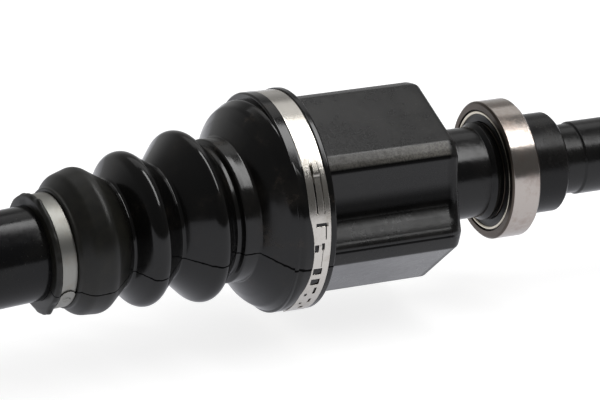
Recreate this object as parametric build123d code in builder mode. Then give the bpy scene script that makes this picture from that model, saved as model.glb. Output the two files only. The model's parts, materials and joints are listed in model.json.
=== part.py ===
from build123d import *
import math
import os

os.makedirs("parts", exist_ok=True)

# Drive shaft with a support bearing, a sliding tripod joint and a fixed ball joint.
# The origin is the centre of the support bearing. +X runs along the housing towards
# the gearbox and +Z is up. The shaft leaves the tripod joint at a small bend.

# Support bearing, 35 x 62 x 14
bearing_bore_radius = 17.5
bearing_outer_radius = 31.0
bearing_width = 14.0
bearing_chamfer = 1.0
inner_ring_chamfer = 0.6
ball_share = 0.585
land_share = 0.304
seal_seat_share = 0.267
seal_depth = 1.7
seal_thickness = 1.1
seal_lip_gap = 0.08
bearing_ball_count = 11
race_gap = 0.05
bearing_cage_rim = 0.73
bearing_cage_thickness = 1.8
cage_pocket_gap = 0.12

# Stub towards the gearbox
collar_radius = 22.4
collar_length = 19.0
collar_chamfer = 1.2
relief_radius = 15.7
relief_length = 12.0
journal_radius = 16.5
journal_length = 78.0
journal_chamfer = 0.9
gear_spline_radius = 13.6
gear_spline_root = 12.3
gear_spline_length = 36.0
gear_spline_teeth = 24
spline_cut_share = 1.6
spline_flank_angle = 100
ring_groove_setback = 5.0
ring_groove_width = 1.7
ring_groove_depth = 1.3
snap_ring_rise = 0.4
snap_ring_clearance = 0.1
snap_ring_width = 1.36
snap_ring_opening = 5.0
end_chamfer = 1.5
centre_hole_radius = 2.5
centre_hole_depth = 7.0

# Neck between the bearing and the tripod housing
stem_length = 29.5
stem_radius = 20.3
stem_fillet = 3.0
shoulder_radius = 21.9
shoulder_length = 3.0
shoulder_slope = 2.0

# Tripod housing
housing_length = 77.5
housing_floor = 9.0
lobe_radius = 43.6
lobe_dip_radius = 38.6
lobe_phase = 173.0
ridge_inner_angle = 22.3
ridge_outer_angle = 33.3
ridge_rounding = 2.2
end_rounding = 3.8
track_top = 34.0
track_corner = 5.0
track_clearance = 1.25
housing_bore_radius = 22.5
mouth_flare_radius = 31.0
mouth_flare_length = 22.0
mouth_chamfer = 1.0
spring_bore_radius = 9.0
spring_bore_depth = 16.0

# Tripod: spider, rollers and needles
joint_depth = 21.0
roller_radius = 14.5
roller_width = 10.0
roller_bore_radius = 10.7
roller_ring_radius = 25.5
trunnion_radius = 7.2
trunnion_end = 32.8
needle_radius = 1.7
needle_count = 15
needle_length = 9.2
spider_radius = 17.0
spider_width = 22.0
spider_boss_radius = 10.2
spider_chamfer = 1.2
boss_root_height = 10.2
washer_radius = 10.6
washer_thickness = 0.8
trunnion_clip_radius = 8.9
trunnion_clip_thickness = 0.9
clip_groove_depth = 0.8
roller_gap = 0.3
clip_opening = 3.0

# Thrust cup and spring inside the housing
tip_sphere_radius = 18.5
seat_gap = 0.3
cup_radius = 7.5
cup_thickness = 2.6
cup_spigot_radius = 5.0
cup_spigot_length = 8.0
spring_radius = 6.6
spring_wire_radius = 1.0
spring_turns = 6

# Bend of the shaft at the tripod joint, and the shaft itself
shaft_yaw = 5.5
shaft_pitch = 1.5
joint_spacing = 400.0
tube_radius = 20.4
tube_wall = 4.0
tube_near_end = 110.0
tube_far_end = 288.0
stub_bar_radius = 12.4
stub_taper_length = 18.0
inner_stub_seat = 4.0
outer_stub_seat = 28.0
stub_plug_length = 8.0
plug_gap = 0.1
shaft_clip_radius = 13.6
shaft_clip_thickness = 1.7
shaft_clip_depth = 1.0
shaft_clip_opening = 4.0

# Inner boot, stations measured from the tripod centre along the shaft
boot_wall = 2.3
boot_gap = 0.3
boot_overlap = 14.0
boot_lip_width = 2.8
boot_lip_rise = 1.4
boot_lip_chamfer = 0.6
clamp_width = 10.0
clamp_thickness = 0.6
boot_seat_wall = 3.3
boot_collar_rise = 1.1
boot_collar_width = 5.2
boot_groove_depth = 0.5
bell_setback = 1.3
bell_edge_setback = 5.7
bell_join_step = 5.7
bell_hem = 1.9
join_step = 0.05
valley_stations = (45.0, 74.0, 96.5, 116.5)
valley_radii = (28.3, 27.2, 25.3, 25.6)
peak_stations = (58.7, 85.3, 107.0)
peak_radii = (36.9, 33.3, 30.4)
small_lip_chamfer = 0.8
neck_chamfer = 0.4
valley_lean = 0.46
small_seat_radius = 23.4
small_clamp_station = 126.0
small_clamp_width = 7.2
small_rim_width = 5.6
small_rim_radius = 26.0
rim_rounding = 2.0

# Band clamp closures
ear_length = 14.0
ear_width_share = 0.6
ear_height = 1.6
ear_sink = 0.1
band_side_gap = 0.2
large_ear_angle = 12.0
small_ear_angle = -62.0
overlap_length = 34.0
overlap_thickness = 0.5

# Fixed ball joint at the wheel end
cv_ball_radius = 8.5
cv_ball_circle = 29.0
cv_ball_count = 6
cv_inner_radius = 23.5
cv_inner_width = 25.0
cv_cage_inner = 23.8
cv_cage_outer = 27.2
cv_cage_width = 23.0
cv_window_gap = 0.1
cv_outer_bore = 27.5
cv_bore_lip_radius = 25.85
cv_inner_track_gap = 1.4
cv_outer_track_gap = 1.05
cv_mouth_depth = 15.0
cv_mouth_radius = 33.5
cv_inner_track_reach = 55.0
cv_track_back = 40.0
cv_track_front = 62.0
bell_radius = 43.0
bell_straight = 10.0
bell_back = 36.0
bell_round_share = 0.78
bell_neck_radius = 23.0
wheel_shoulder = 46.0
wheel_pilot_radius = 15.0
wheel_pilot_length = 9.0
wheel_spline_radius = 13.4
wheel_spline_root = 12.2
wheel_spline_length = 36.0
wheel_spline_teeth = 28
thread_radius = 11.0
thread_length = 20.0

# Outer boot, stations measured from the ball joint centre towards the tripod joint
outer_seat_start = 1.0
outer_seat_length = 9.0
outer_lip_width = 2.5
outer_seat_wall = 1.7
outer_collar_rise = 1.2
outer_collar_land = 1.5
outer_peak_stations = (26.5, 40.5, 54.5, 67.5, 79.0)
outer_peak_radii = (45.0, 41.0, 37.0, 33.5, 30.0)
outer_valley_stations = (19.5, 33.5, 48.0, 61.5, 73.5, 85.0)
outer_valley_radii = (39.5, 34.0, 31.0, 28.5, 26.0, 25.4)
outer_small_clamp_station = 95.0
crest_half_width = 3.0
crest_drop = 1.4

# Stations along the housing axis
bearing_face = bearing_width / 2
collar_end = bearing_face + collar_length
relief_end = collar_end + relief_length
journal_end = relief_end + journal_length
stub_end = journal_end + gear_spline_length
housing_end = -bearing_face - stem_length
housing_mouth = housing_end - housing_length
housing_floor_x = housing_end - housing_floor
tripod_x = housing_mouth + joint_depth
track_half_width = roller_radius + track_clearance

# Rings of the bearing: its balls, lands and seal seats are shares of the height between its bores
ring_height = bearing_outer_radius - bearing_bore_radius
ball_pitch_radius = (bearing_bore_radius + bearing_outer_radius) / 2
bearing_ball_radius = ball_share * ring_height / 2
bearing_cage_width = 2 * (bearing_ball_radius + cage_pocket_gap + bearing_cage_rim)
inner_land_radius = bearing_bore_radius + land_share * ring_height
outer_land_radius = bearing_outer_radius - land_share * ring_height
seal_seat_radius = bearing_outer_radius - seal_seat_share * ring_height

# Frame of the shaft: its X runs along the shaft towards the gearbox
yaw = math.radians(shaft_yaw)
pitch = math.radians(shaft_pitch)
tripod_centre = Vector(tripod_x, 0, 0)
shaft_dir = Vector(math.cos(pitch) * math.cos(yaw), math.cos(pitch) * math.sin(yaw), math.sin(pitch))
shaft_up = Vector(-math.sin(pitch) * math.cos(yaw), -math.sin(pitch) * math.sin(yaw), math.cos(pitch))
shaft_frame = Plane(origin=tripod_centre, x_dir=shaft_dir, z_dir=shaft_up)
shaft_side = shaft_frame.y_dir
shaft_axis = Axis(tripod_centre, shaft_dir)

# Frame of the ball joint: its X points outwards, towards the wheel
wheel_centre = tripod_centre - shaft_dir * joint_spacing
wheel_dir = shaft_dir * -1
wheel_frame = Plane(origin=wheel_centre, x_dir=wheel_dir, z_dir=shaft_up)
wheel_side = wheel_frame.y_dir
wheel_axis = Axis(wheel_centre, wheel_dir)


def across_housing(station):
    return Plane.YZ.offset(station)


def across_shaft(station):
    return Plane(origin=tripod_centre + shaft_dir * station, x_dir=shaft_side, z_dir=shaft_dir)


def across_wheel(station):
    return Plane(origin=wheel_centre + wheel_dir * station, x_dir=wheel_side, z_dir=wheel_dir)


def radial(side, up, angle):
    a = math.radians(angle)
    return side * math.cos(a) + up * math.sin(a)


def polar(radius, angle):
    a = math.radians(angle)
    return (radius * math.cos(a), radius * math.sin(a))


def sphere_x(radius, height):
    return math.sqrt(radius * radius - height * height)


def save(piece, name):
    piece.part.label = name
    export_step(piece.part, "parts/" + name + ".step")


lobe_angles = [lobe_phase + 120 * k for k in range(3)]

# Support bearing: outer ring
with BuildPart() as bearing_outer_ring:
    with BuildSketch(Plane.XY):
        with BuildLine():
            Polyline(
                (-bearing_face, seal_seat_radius),
                (-bearing_face, bearing_outer_radius - bearing_chamfer),
                (-bearing_face + bearing_chamfer, bearing_outer_radius),
                (bearing_face - bearing_chamfer, bearing_outer_radius),
                (bearing_face, bearing_outer_radius - bearing_chamfer),
                (bearing_face, seal_seat_radius),
                (bearing_face - seal_depth, seal_seat_radius),
                (bearing_face - seal_depth, outer_land_radius),
                (-bearing_face + seal_depth, outer_land_radius),
                (-bearing_face + seal_depth, seal_seat_radius),
                close=True,
            )
        make_face()
        with Locations((0, ball_pitch_radius)):
            Circle(bearing_ball_radius + race_gap, mode=Mode.SUBTRACT)
    revolve(axis=Axis.X)
save(bearing_outer_ring, "bearing_outer_ring")

# Support bearing: inner ring
with BuildPart() as bearing_inner_ring:
    with BuildSketch(Plane.XY):
        with Locations((0, (bearing_bore_radius + inner_land_radius) / 2)):
            ring_section = Rectangle(bearing_width, inner_land_radius - bearing_bore_radius)
        chamfer(ring_section.vertices(), inner_ring_chamfer)
        with Locations((0, ball_pitch_radius)):
            Circle(bearing_ball_radius + race_gap, mode=Mode.SUBTRACT)
    revolve(axis=Axis.X)
save(bearing_inner_ring, "bearing_inner_ring")

# Support bearing: balls and the cage that spaces them
with BuildPart(Plane.YZ) as bearing_balls:
    with PolarLocations(ball_pitch_radius, bearing_ball_count):
        Sphere(bearing_ball_radius)
save(bearing_balls, "bearing_balls")

with BuildPart(Plane.YZ) as bearing_cage:
    Cylinder(ball_pitch_radius + bearing_cage_thickness / 2, bearing_cage_width)
    Cylinder(ball_pitch_radius - bearing_cage_thickness / 2, bearing_cage_width, mode=Mode.SUBTRACT)
    for k in range(bearing_ball_count):
        pocket_dir = Vector(0, *polar(1, 360 * k / bearing_ball_count))
        with BuildSketch(Plane(origin=(0, 0, 0), x_dir=(1, 0, 0), z_dir=pocket_dir)):
            Circle(bearing_ball_radius + cage_pocket_gap)
        extrude(amount=bearing_outer_radius, mode=Mode.SUBTRACT)
save(bearing_cage, "bearing_cage")

# Support bearing: two rubber seals, pressed into the outer ring
for side_name, side_sign in (("left", -1), ("right", 1)):
    with BuildPart() as bearing_seal:
        seal_x = side_sign * (bearing_face - seal_depth + seal_thickness / 2)
        with BuildSketch(Plane.XY):
            with Locations((seal_x, (inner_land_radius + seal_lip_gap + seal_seat_radius) / 2)):
                Rectangle(seal_thickness, seal_seat_radius - inner_land_radius - seal_lip_gap)
        revolve(axis=Axis.X)
    save(bearing_seal, "bearing_seal_" + side_name)

# Pressed collar that holds the bearing on the stub
with BuildPart() as bearing_collar:
    with BuildSketch(Plane.XY):
        with Locations((bearing_face + collar_length / 2, (bearing_bore_radius + collar_radius) / 2)):
            collar_section = Rectangle(collar_length, collar_radius - bearing_bore_radius)
        chamfer(collar_section.vertices().group_by(Axis.Y)[-1], collar_chamfer)
    revolve(axis=Axis.X)
save(bearing_collar, "bearing_collar")

# Tripod housing: a forged six-sided cup with its stem, bearing seat and splined stub in one piece
with BuildPart() as tripod_housing:
    with BuildSketch(across_housing(housing_end)) as housing_section:
        with BuildLine():
            for angle in lobe_angles:
                ThreePointArc(
                    polar(lobe_radius, angle - ridge_inner_angle),
                    polar(lobe_dip_radius, angle),
                    polar(lobe_radius, angle + ridge_inner_angle),
                )
                for sign in (-1, 1):
                    ThreePointArc(
                        polar(lobe_radius, angle + sign * ridge_inner_angle),
                        polar(lobe_radius, angle + sign * (ridge_inner_angle + ridge_outer_angle) / 2),
                        polar(lobe_radius, angle + sign * ridge_outer_angle),
                    )
                Line(
                    polar(lobe_radius, angle + ridge_outer_angle),
                    polar(lobe_radius, angle + 120 - ridge_outer_angle),
                )
        make_face()
        fillet(housing_section.vertices(), ridge_rounding)
    extrude(amount=-housing_length)
    fillet(tripod_housing.faces().sort_by(Axis.X)[-1].edges(), end_rounding)
    chamfer(tripod_housing.faces().sort_by(Axis.X)[0].edges(), mouth_chamfer)
    with BuildSketch(across_housing(housing_floor_x)) as cavity_section:
        Circle(housing_bore_radius)
        for angle in lobe_angles:
            with BuildSketch(mode=Mode.PRIVATE) as track_slot:
                with Locations((track_top / 2, 0)):
                    Rectangle(track_top, 2 * track_half_width)
                fillet(track_slot.vertices().group_by(Axis.X)[-1], track_corner)
            add(track_slot.sketch, rotation=angle)
    extrude(amount=-(housing_length - housing_floor), mode=Mode.SUBTRACT)
    with BuildSketch(Plane.XY):
        with BuildLine():
            Polyline(
                (housing_mouth, 0),
                (housing_mouth, mouth_flare_radius),
                (housing_mouth + mouth_flare_length, housing_bore_radius),
                (housing_mouth + mouth_flare_length, 0),
                close=True,
            )
        make_face()
    revolve(axis=Axis.X, mode=Mode.SUBTRACT)
    with BuildSketch(Plane.XY) as stem_section:
        with BuildLine():
            Polyline(
                (housing_end - 1, 0),
                (housing_end - 1, stem_radius),
                (-bearing_face - shoulder_length - shoulder_slope, stem_radius),
                (-bearing_face - shoulder_length, shoulder_radius),
                (-bearing_face, shoulder_radius),
                (-bearing_face, bearing_bore_radius),
                (collar_end, bearing_bore_radius),
                (collar_end + bearing_bore_radius - relief_radius, relief_radius),
                (relief_end - journal_chamfer, relief_radius),
                (relief_end, journal_radius),
                (journal_end - journal_chamfer, journal_radius),
                (journal_end, gear_spline_radius),
                (stub_end - end_chamfer, gear_spline_radius),
                (stub_end, gear_spline_radius - end_chamfer),
                (stub_end, 0),
                close=True,
            )
        make_face()
    revolve(axis=Axis.X)
    neck_edges = tripod_housing.edges().filter_by(GeomType.CIRCLE).filter_by(
        lambda e: abs(e.center().X - housing_end) < 0.01 and abs(e.radius - stem_radius) < 0.01)
    fillet(neck_edges, stem_fillet)
    with BuildSketch(across_housing(housing_floor_x)):
        Circle(spring_bore_radius)
    extrude(amount=spring_bore_depth, mode=Mode.SUBTRACT)
    with BuildSketch(across_housing(stub_end)):
        with PolarLocations(gear_spline_radius, gear_spline_teeth):
            Trapezoid(
                (gear_spline_radius - gear_spline_root) * spline_cut_share,
                2 * (gear_spline_radius - gear_spline_root),
                spline_flank_angle,
                rotation=-90,
            )
    extrude(amount=-(gear_spline_length - end_chamfer), mode=Mode.SUBTRACT)
    with BuildSketch(Plane.XY):
        with Locations((stub_end - ring_groove_setback, gear_spline_radius)):
            Rectangle(ring_groove_width, 2 * ring_groove_depth)
    revolve(axis=Axis.X, mode=Mode.SUBTRACT)
    with BuildSketch(Plane.XY):
        with BuildLine():
            Polyline(
                (stub_end, 0),
                (stub_end, centre_hole_radius),
                (stub_end - centre_hole_depth, 0),
                close=True,
            )
        make_face()
    revolve(axis=Axis.X, mode=Mode.SUBTRACT)
save(tripod_housing, "tripod_housing")

# Snap ring in the groove near the splined end
with BuildPart() as stub_snap_ring:
    with BuildSketch(across_housing(stub_end - ring_groove_setback)):
        Circle(gear_spline_radius + snap_ring_rise)
        Circle(gear_spline_radius - ring_groove_depth + snap_ring_clearance, mode=Mode.SUBTRACT)
        with Locations((0, -gear_spline_radius)):
            Rectangle(snap_ring_opening, 4 * ring_groove_depth, mode=Mode.SUBTRACT)
    extrude(amount=snap_ring_width / 2, both=True)
save(stub_snap_ring, "stub_snap_ring")

# Spider: a splined hub with three trunnions
with BuildPart() as spider:
    with BuildSketch(across_shaft(-spider_width / 2)):
        Circle(spider_radius)
    extrude(amount=spider_width)
    chamfer(spider.edges().filter_by(GeomType.CIRCLE), spider_chamfer)
    for angle in lobe_angles:
        direction = radial(shaft_side, shaft_up, angle)
        trunnion_plane = Plane(origin=tripod_centre, x_dir=shaft_dir, z_dir=direction)
        with BuildSketch(trunnion_plane.offset(boss_root_height)):
            Circle(spider_boss_radius)
        extrude(amount=roller_ring_radius - roller_width / 2 - roller_gap - boss_root_height)
        with BuildSketch(trunnion_plane):
            Circle(trunnion_radius)
        extrude(amount=trunnion_end)
        clip_height = roller_ring_radius + roller_width / 2 + roller_gap + washer_thickness
        with BuildSketch(trunnion_plane.offset(clip_height)):
            Circle(trunnion_radius)
            Circle(trunnion_radius - clip_groove_depth, mode=Mode.SUBTRACT)
        extrude(amount=trunnion_clip_thickness, mode=Mode.SUBTRACT)
    with BuildSketch(across_shaft(-spider_width)):
        Circle(stub_bar_radius)
    extrude(amount=2 * spider_width, mode=Mode.SUBTRACT)
save(spider, "spider")

# Rollers, needles, washers and clips on the three trunnions
clip_solids = []
washer_solids = []
for number, angle in enumerate(lobe_angles, start=1):
    direction = radial(shaft_side, shaft_up, angle)
    trunnion_plane = Plane(origin=tripod_centre, x_dir=shaft_dir, z_dir=direction)
    roller_centre = tripod_centre + direction * roller_ring_radius
    roller_plane = Plane(origin=roller_centre, x_dir=shaft_dir, z_dir=direction)
    half = roller_width / 2
    rim = sphere_x(roller_radius, half)
    with BuildPart() as roller:
        with BuildSketch(Plane(origin=roller_plane.origin, x_dir=shaft_dir, z_dir=roller_plane.y_dir * -1)):
            with BuildLine():
                Polyline((rim, half), (roller_bore_radius, half), (roller_bore_radius, -half), (rim, -half))
                ThreePointArc((rim, -half), (roller_radius, 0), (rim, half))
            make_face()
        revolve(axis=Axis(roller_plane.origin, direction))
    save(roller, "roller_" + str(number))
    needle_circle = (trunnion_radius + roller_bore_radius) / 2
    with BuildPart() as needles:
        with BuildSketch(roller_plane.offset(-needle_length / 2)):
            with PolarLocations(needle_circle, needle_count):
                Circle(needle_radius)
        extrude(amount=needle_length)
    save(needles, "needles_" + str(number))
    with BuildPart() as washer:
        with BuildSketch(roller_plane.offset(half + roller_gap)):
            Circle(washer_radius)
            Circle(trunnion_radius, mode=Mode.SUBTRACT)
        extrude(amount=washer_thickness)
    washer_solids.append(washer.part.solid())
    with BuildPart() as clip:
        with BuildSketch(trunnion_plane.offset(roller_ring_radius + half + roller_gap + washer_thickness)):
            Circle(trunnion_clip_radius)
            Circle(trunnion_radius - clip_groove_depth, mode=Mode.SUBTRACT)
            with Locations((trunnion_clip_radius, 0)):
                Rectangle(trunnion_clip_radius, clip_opening, mode=Mode.SUBTRACT)
        extrude(amount=trunnion_clip_thickness)
    clip_solids.append(clip.part.solid())

with BuildPart() as roller_washers:
    add(washer_solids)
save(roller_washers, "roller_washers")

with BuildPart() as trunnion_clips:
    add(clip_solids)
save(trunnion_clips, "trunnion_clips")

# Thrust cup: a concave button on the round tip of the shaft, pushed by a spring
cup_back = tripod_x + tip_sphere_radius + seat_gap + cup_thickness
cup_rim = tripod_x + sphere_x(tip_sphere_radius + seat_gap, cup_radius)
with BuildPart() as thrust_cup:
    with BuildSketch(Plane.XY):
        with BuildLine():
            ThreePointArc(
                (tripod_x + tip_sphere_radius + seat_gap, 0),
                (tripod_x + sphere_x(tip_sphere_radius + seat_gap, cup_radius / 2), cup_radius / 2),
                (cup_rim, cup_radius),
            )
            Polyline(
                (cup_rim, cup_radius),
                (cup_back, cup_radius),
                (cup_back, cup_spigot_radius),
                (cup_back + cup_spigot_length, cup_spigot_radius),
                (cup_back + cup_spigot_length, 0),
                (tripod_x + tip_sphere_radius + seat_gap, 0),
            )
        make_face()
    revolve(axis=Axis.X)
save(thrust_cup, "thrust_cup")

spring_start = cup_back + spring_wire_radius
spring_end = housing_floor_x + spring_bore_depth - spring_wire_radius
with BuildPart() as thrust_spring:
    with BuildLine() as coil_path:
        Helix(
            (spring_end - spring_start) / spring_turns,
            spring_end - spring_start,
            spring_radius,
            center=(spring_start, 0, 0),
            direction=(1, 0, 0),
        )
    with BuildSketch(Plane(origin=coil_path.line @ 0, z_dir=coil_path.line % 0)):
        Circle(spring_wire_radius)
    sweep(path=coil_path.line, is_frenet=True)
save(thrust_spring, "thrust_spring")

# Shaft: a friction-welded tube with a solid stub at each end
with BuildPart() as shaft_tube:
    with BuildSketch(across_shaft(-tube_far_end)):
        Circle(tube_radius)
        Circle(tube_radius - tube_wall, mode=Mode.SUBTRACT)
    extrude(amount=tube_far_end - tube_near_end)
save(shaft_tube, "shaft_tube")

tip_start = sphere_x(tip_sphere_radius, stub_bar_radius)
clip_station = spider_width / 2
with BuildPart() as inner_stub:
    with BuildSketch(shaft_frame):
        with BuildLine():
            Polyline(
                (-tube_near_end - stub_plug_length, 0),
                (-tube_near_end - stub_plug_length, tube_radius - tube_wall - plug_gap),
                (-tube_near_end, tube_radius - tube_wall - plug_gap),
                (-tube_near_end, tube_radius),
                (-tube_near_end + inner_stub_seat, tube_radius),
                (-tube_near_end + inner_stub_seat + stub_taper_length, stub_bar_radius),
                (clip_station, stub_bar_radius),
                (clip_station, stub_bar_radius - shaft_clip_depth),
                (clip_station + shaft_clip_thickness, stub_bar_radius - shaft_clip_depth),
                (clip_station + shaft_clip_thickness, stub_bar_radius),
                (tip_start, stub_bar_radius),
            )
            ThreePointArc(
                (tip_start, stub_bar_radius),
                (sphere_x(tip_sphere_radius, stub_bar_radius / 2), stub_bar_radius / 2),
                (tip_sphere_radius, 0),
            )
            Line((tip_sphere_radius, 0), (-tube_near_end - stub_plug_length, 0))
        make_face()
    revolve(axis=shaft_axis)
save(inner_stub, "inner_stub")

with BuildPart() as spider_clip:
    with BuildSketch(across_shaft(clip_station)):
        Circle(shaft_clip_radius)
        Circle(stub_bar_radius - shaft_clip_depth, mode=Mode.SUBTRACT)
        with Locations((0, -shaft_clip_radius)):
            Rectangle(shaft_clip_opening, shaft_clip_radius, mode=Mode.SUBTRACT)
    extrude(amount=shaft_clip_thickness)
save(spider_clip, "spider_clip")

cv_clip_station = cv_inner_width / 2
with BuildPart() as outer_stub:
    with BuildSketch(wheel_frame):
        with BuildLine():
            far = tube_far_end - joint_spacing
            Polyline(
                (far - stub_plug_length, 0),
                (far - stub_plug_length, tube_radius - tube_wall - plug_gap),
                (far, tube_radius - tube_wall - plug_gap),
                (far, tube_radius),
                (far + outer_stub_seat, tube_radius),
                (far + outer_stub_seat + stub_taper_length, stub_bar_radius),
                (cv_clip_station, stub_bar_radius),
                (cv_clip_station, stub_bar_radius - shaft_clip_depth),
                (cv_clip_station + shaft_clip_thickness, stub_bar_radius - shaft_clip_depth),
                (cv_clip_station + shaft_clip_thickness, stub_bar_radius),
                (cv_clip_station + shaft_clip_thickness + end_chamfer, stub_bar_radius - end_chamfer),
                (cv_clip_station + shaft_clip_thickness + end_chamfer, 0),
                close=True,
            )
        make_face()
    revolve(axis=wheel_axis)
save(outer_stub, "outer_stub")

with BuildPart() as cv_clip:
    with BuildSketch(across_wheel(cv_clip_station)):
        Circle(shaft_clip_radius)
        Circle(stub_bar_radius - shaft_clip_depth, mode=Mode.SUBTRACT)
        with Locations((0, -shaft_clip_radius)):
            Rectangle(shaft_clip_opening, shaft_clip_radius, mode=Mode.SUBTRACT)
    extrude(amount=shaft_clip_thickness)
save(cv_clip, "cv_clip")

# Inner boot: bell on the housing axis and bellows on the shaft axis, joined on one sphere
boot_seat_radius = lobe_radius + boot_gap + boot_seat_wall
boot_collar_radius = boot_seat_radius + boot_collar_rise
boot_lip_radius = boot_seat_radius + boot_lip_rise
clamp_right = housing_mouth + boot_overlap - boot_lip_width
clamp_left = clamp_right - clamp_width
collar_left = clamp_left - boot_collar_width
bell_start_height = boot_collar_radius - boot_groove_depth
bell_sphere_radius = math.hypot(tripod_x - collar_left + bell_setback, bell_start_height)
bell_inner_radius = bell_sphere_radius - boot_wall
bell_outer_start = math.degrees(math.asin(bell_start_height / bell_sphere_radius))
bell_inner_start = math.degrees(math.asin((boot_collar_radius - bell_hem) / bell_inner_radius))
bell_edge_angle = math.degrees(math.acos((valley_stations[0] - bell_edge_setback) / bell_sphere_radius))
bell_join_low = bell_edge_angle + bell_join_step
bell_join_high = bell_edge_angle + 2 * bell_join_step


def on_bell(radius, angle):
    a = math.radians(angle)
    return (-radius * math.cos(a), radius * math.sin(a))


def bell_point(radius, angle):
    x, y = on_bell(radius, angle)
    return (tripod_x + x, y)


with BuildPart() as boot_bell:
    with BuildSketch(Plane.XY):
        with BuildLine():
            Polyline(
                bell_point(bell_inner_radius, bell_inner_start),
                (housing_mouth - boot_gap, bell_point(bell_inner_radius, bell_inner_start)[1]),
                (housing_mouth - boot_gap, lobe_dip_radius - boot_wall),
                (clamp_right + boot_lip_width, lobe_dip_radius - boot_wall),
                (clamp_right + boot_lip_width, boot_lip_radius - boot_lip_chamfer),
                (clamp_right + boot_lip_width - boot_lip_chamfer, boot_lip_radius),
                (clamp_right, boot_lip_radius),
                (clamp_right, boot_seat_radius),
                (clamp_left, boot_seat_radius),
                (clamp_left, boot_collar_radius),
                (collar_left, boot_collar_radius),
                (collar_left, boot_collar_radius - boot_groove_depth),
                bell_point(bell_sphere_radius, bell_outer_start),
            )
            ThreePointArc(
                bell_point(bell_sphere_radius, bell_outer_start),
                bell_point(bell_sphere_radius, (bell_outer_start + bell_join_low) / 2),
                bell_point(bell_sphere_radius, bell_join_low),
            )
            Line(
                bell_point(bell_sphere_radius, bell_join_low),
                bell_point(bell_inner_radius, bell_join_low),
            )
            ThreePointArc(
                bell_point(bell_inner_radius, bell_join_low),
                bell_point(bell_inner_radius, (bell_inner_start + bell_join_low) / 2),
                bell_point(bell_inner_radius, bell_inner_start),
            )
        make_face()
    revolve(axis=Axis.X)
    with BuildSketch(across_housing(housing_mouth - 2 * boot_gap)):
        offset(housing_section.sketch_local, boot_gap)
    extrude(amount=boot_overlap + 4 * boot_gap, mode=Mode.SUBTRACT)

with BuildPart() as boot_bellows:
    small_left = -small_clamp_station - small_clamp_width / 2
    small_right = -small_clamp_station + small_clamp_width / 2
    rim_left = small_left - small_rim_width
    bore = tube_radius + boot_gap
    with BuildSketch(shaft_frame) as bellows_section:
        with BuildLine():
            outer_sphere = bell_sphere_radius - join_step
            inner_sphere = bell_inner_radius + join_step
            outer_edge = on_bell(outer_sphere, bell_edge_angle)
            inner_edge = on_bell(inner_sphere, bell_edge_angle)
            ThreePointArc(
                on_bell(outer_sphere, bell_join_high),
                on_bell(outer_sphere, bell_edge_angle + bell_join_step),
                outer_edge,
            )
            ThreePointArc(
                on_bell(inner_sphere, bell_join_high),
                on_bell(inner_sphere, bell_edge_angle + bell_join_step),
                inner_edge,
            )
            Line(on_bell(outer_sphere, bell_join_high), on_bell(inner_sphere, bell_join_high))
            Line(outer_edge, (-valley_stations[0], valley_radii[0]))
            Line(inner_edge, (-valley_stations[0] + valley_lean, valley_radii[0] - boot_wall))
            Line(
                (-valley_stations[0] + valley_lean, valley_radii[0] - boot_wall),
                (-valley_stations[0], valley_radii[0] - boot_wall),
            )
            for k in range(3):
                for drop in (0, boot_wall):
                    ThreePointArc(
                        (-valley_stations[k], valley_radii[k] - drop),
                        (-peak_stations[k], peak_radii[k] - drop),
                        (-valley_stations[k + 1], valley_radii[k + 1] - drop),
                    )
            Polyline(
                (-valley_stations[3], valley_radii[3]),
                (small_right + neck_chamfer, valley_radii[3]),
                (small_right, valley_radii[3] - neck_chamfer),
                (small_right, small_seat_radius),
                (small_left, small_seat_radius),
                (small_left, small_rim_radius - small_lip_chamfer),
                (small_left - small_lip_chamfer, small_rim_radius),
                (rim_left + rim_rounding, small_rim_radius),
                (rim_left, small_rim_radius - rim_rounding),
                (rim_left, bore),
                (-valley_stations[3], bore),
                (-valley_stations[3], valley_radii[3] - boot_wall),
            )
        make_face()
    revolve(axis=shaft_axis)

with BuildPart() as inner_boot:
    add(boot_bell.part + boot_bellows.part)
save(inner_boot, "inner_boot")


def band_clamp(plane, seat_radius, seat_width, ear_angle):
    """Thin band in a boot's seat, with its overlapped end and its hook ear."""
    width = seat_width - 2 * band_side_gap
    inner = seat_radius + boot_gap
    outer = inner + clamp_thickness
    ear_dir = radial(plane.x_dir, plane.y_dir, ear_angle)
    ear_plane = Plane(origin=plane.origin, x_dir=ear_dir, z_dir=plane.z_dir)
    overlap_angle = math.degrees(overlap_length / outer)
    ear_half = math.degrees(ear_length / outer) / 2
    with BuildPart() as band:
        with BuildSketch(plane.offset(-width / 2)):
            Circle(outer)
            Circle(inner, mode=Mode.SUBTRACT)
        extrude(amount=width)
        with BuildSketch(ear_plane.offset(-width / 2)):
            with BuildLine():
                ThreePointArc(
                    polar(outer, 0),
                    polar(outer, -overlap_angle / 2),
                    polar(outer, -overlap_angle),
                )
                Line(polar(outer, -overlap_angle), polar(outer + overlap_thickness, -overlap_angle))
                ThreePointArc(
                    polar(outer + overlap_thickness, -overlap_angle),
                    polar(outer + overlap_thickness, -overlap_angle / 2),
                    polar(outer + overlap_thickness, 0),
                )
                Line(polar(outer + overlap_thickness, 0), polar(outer, 0))
            make_face()
        extrude(amount=width)
        ear_inset = width * (1 - ear_width_share) / 2
        with BuildSketch(ear_plane.offset(-width / 2 + ear_inset)):
            with BuildLine():
                ThreePointArc(
                    polar(outer - ear_sink, -ear_half),
                    polar(outer - ear_sink, 0),
                    polar(outer - ear_sink, ear_half),
                )
                ThreePointArc(
                    polar(outer - ear_sink, ear_half),
                    polar(outer + overlap_thickness + ear_height, 0),
                    polar(outer - ear_sink, -ear_half),
                )
            make_face()
        extrude(amount=width - 2 * ear_inset)
    return band


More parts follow.
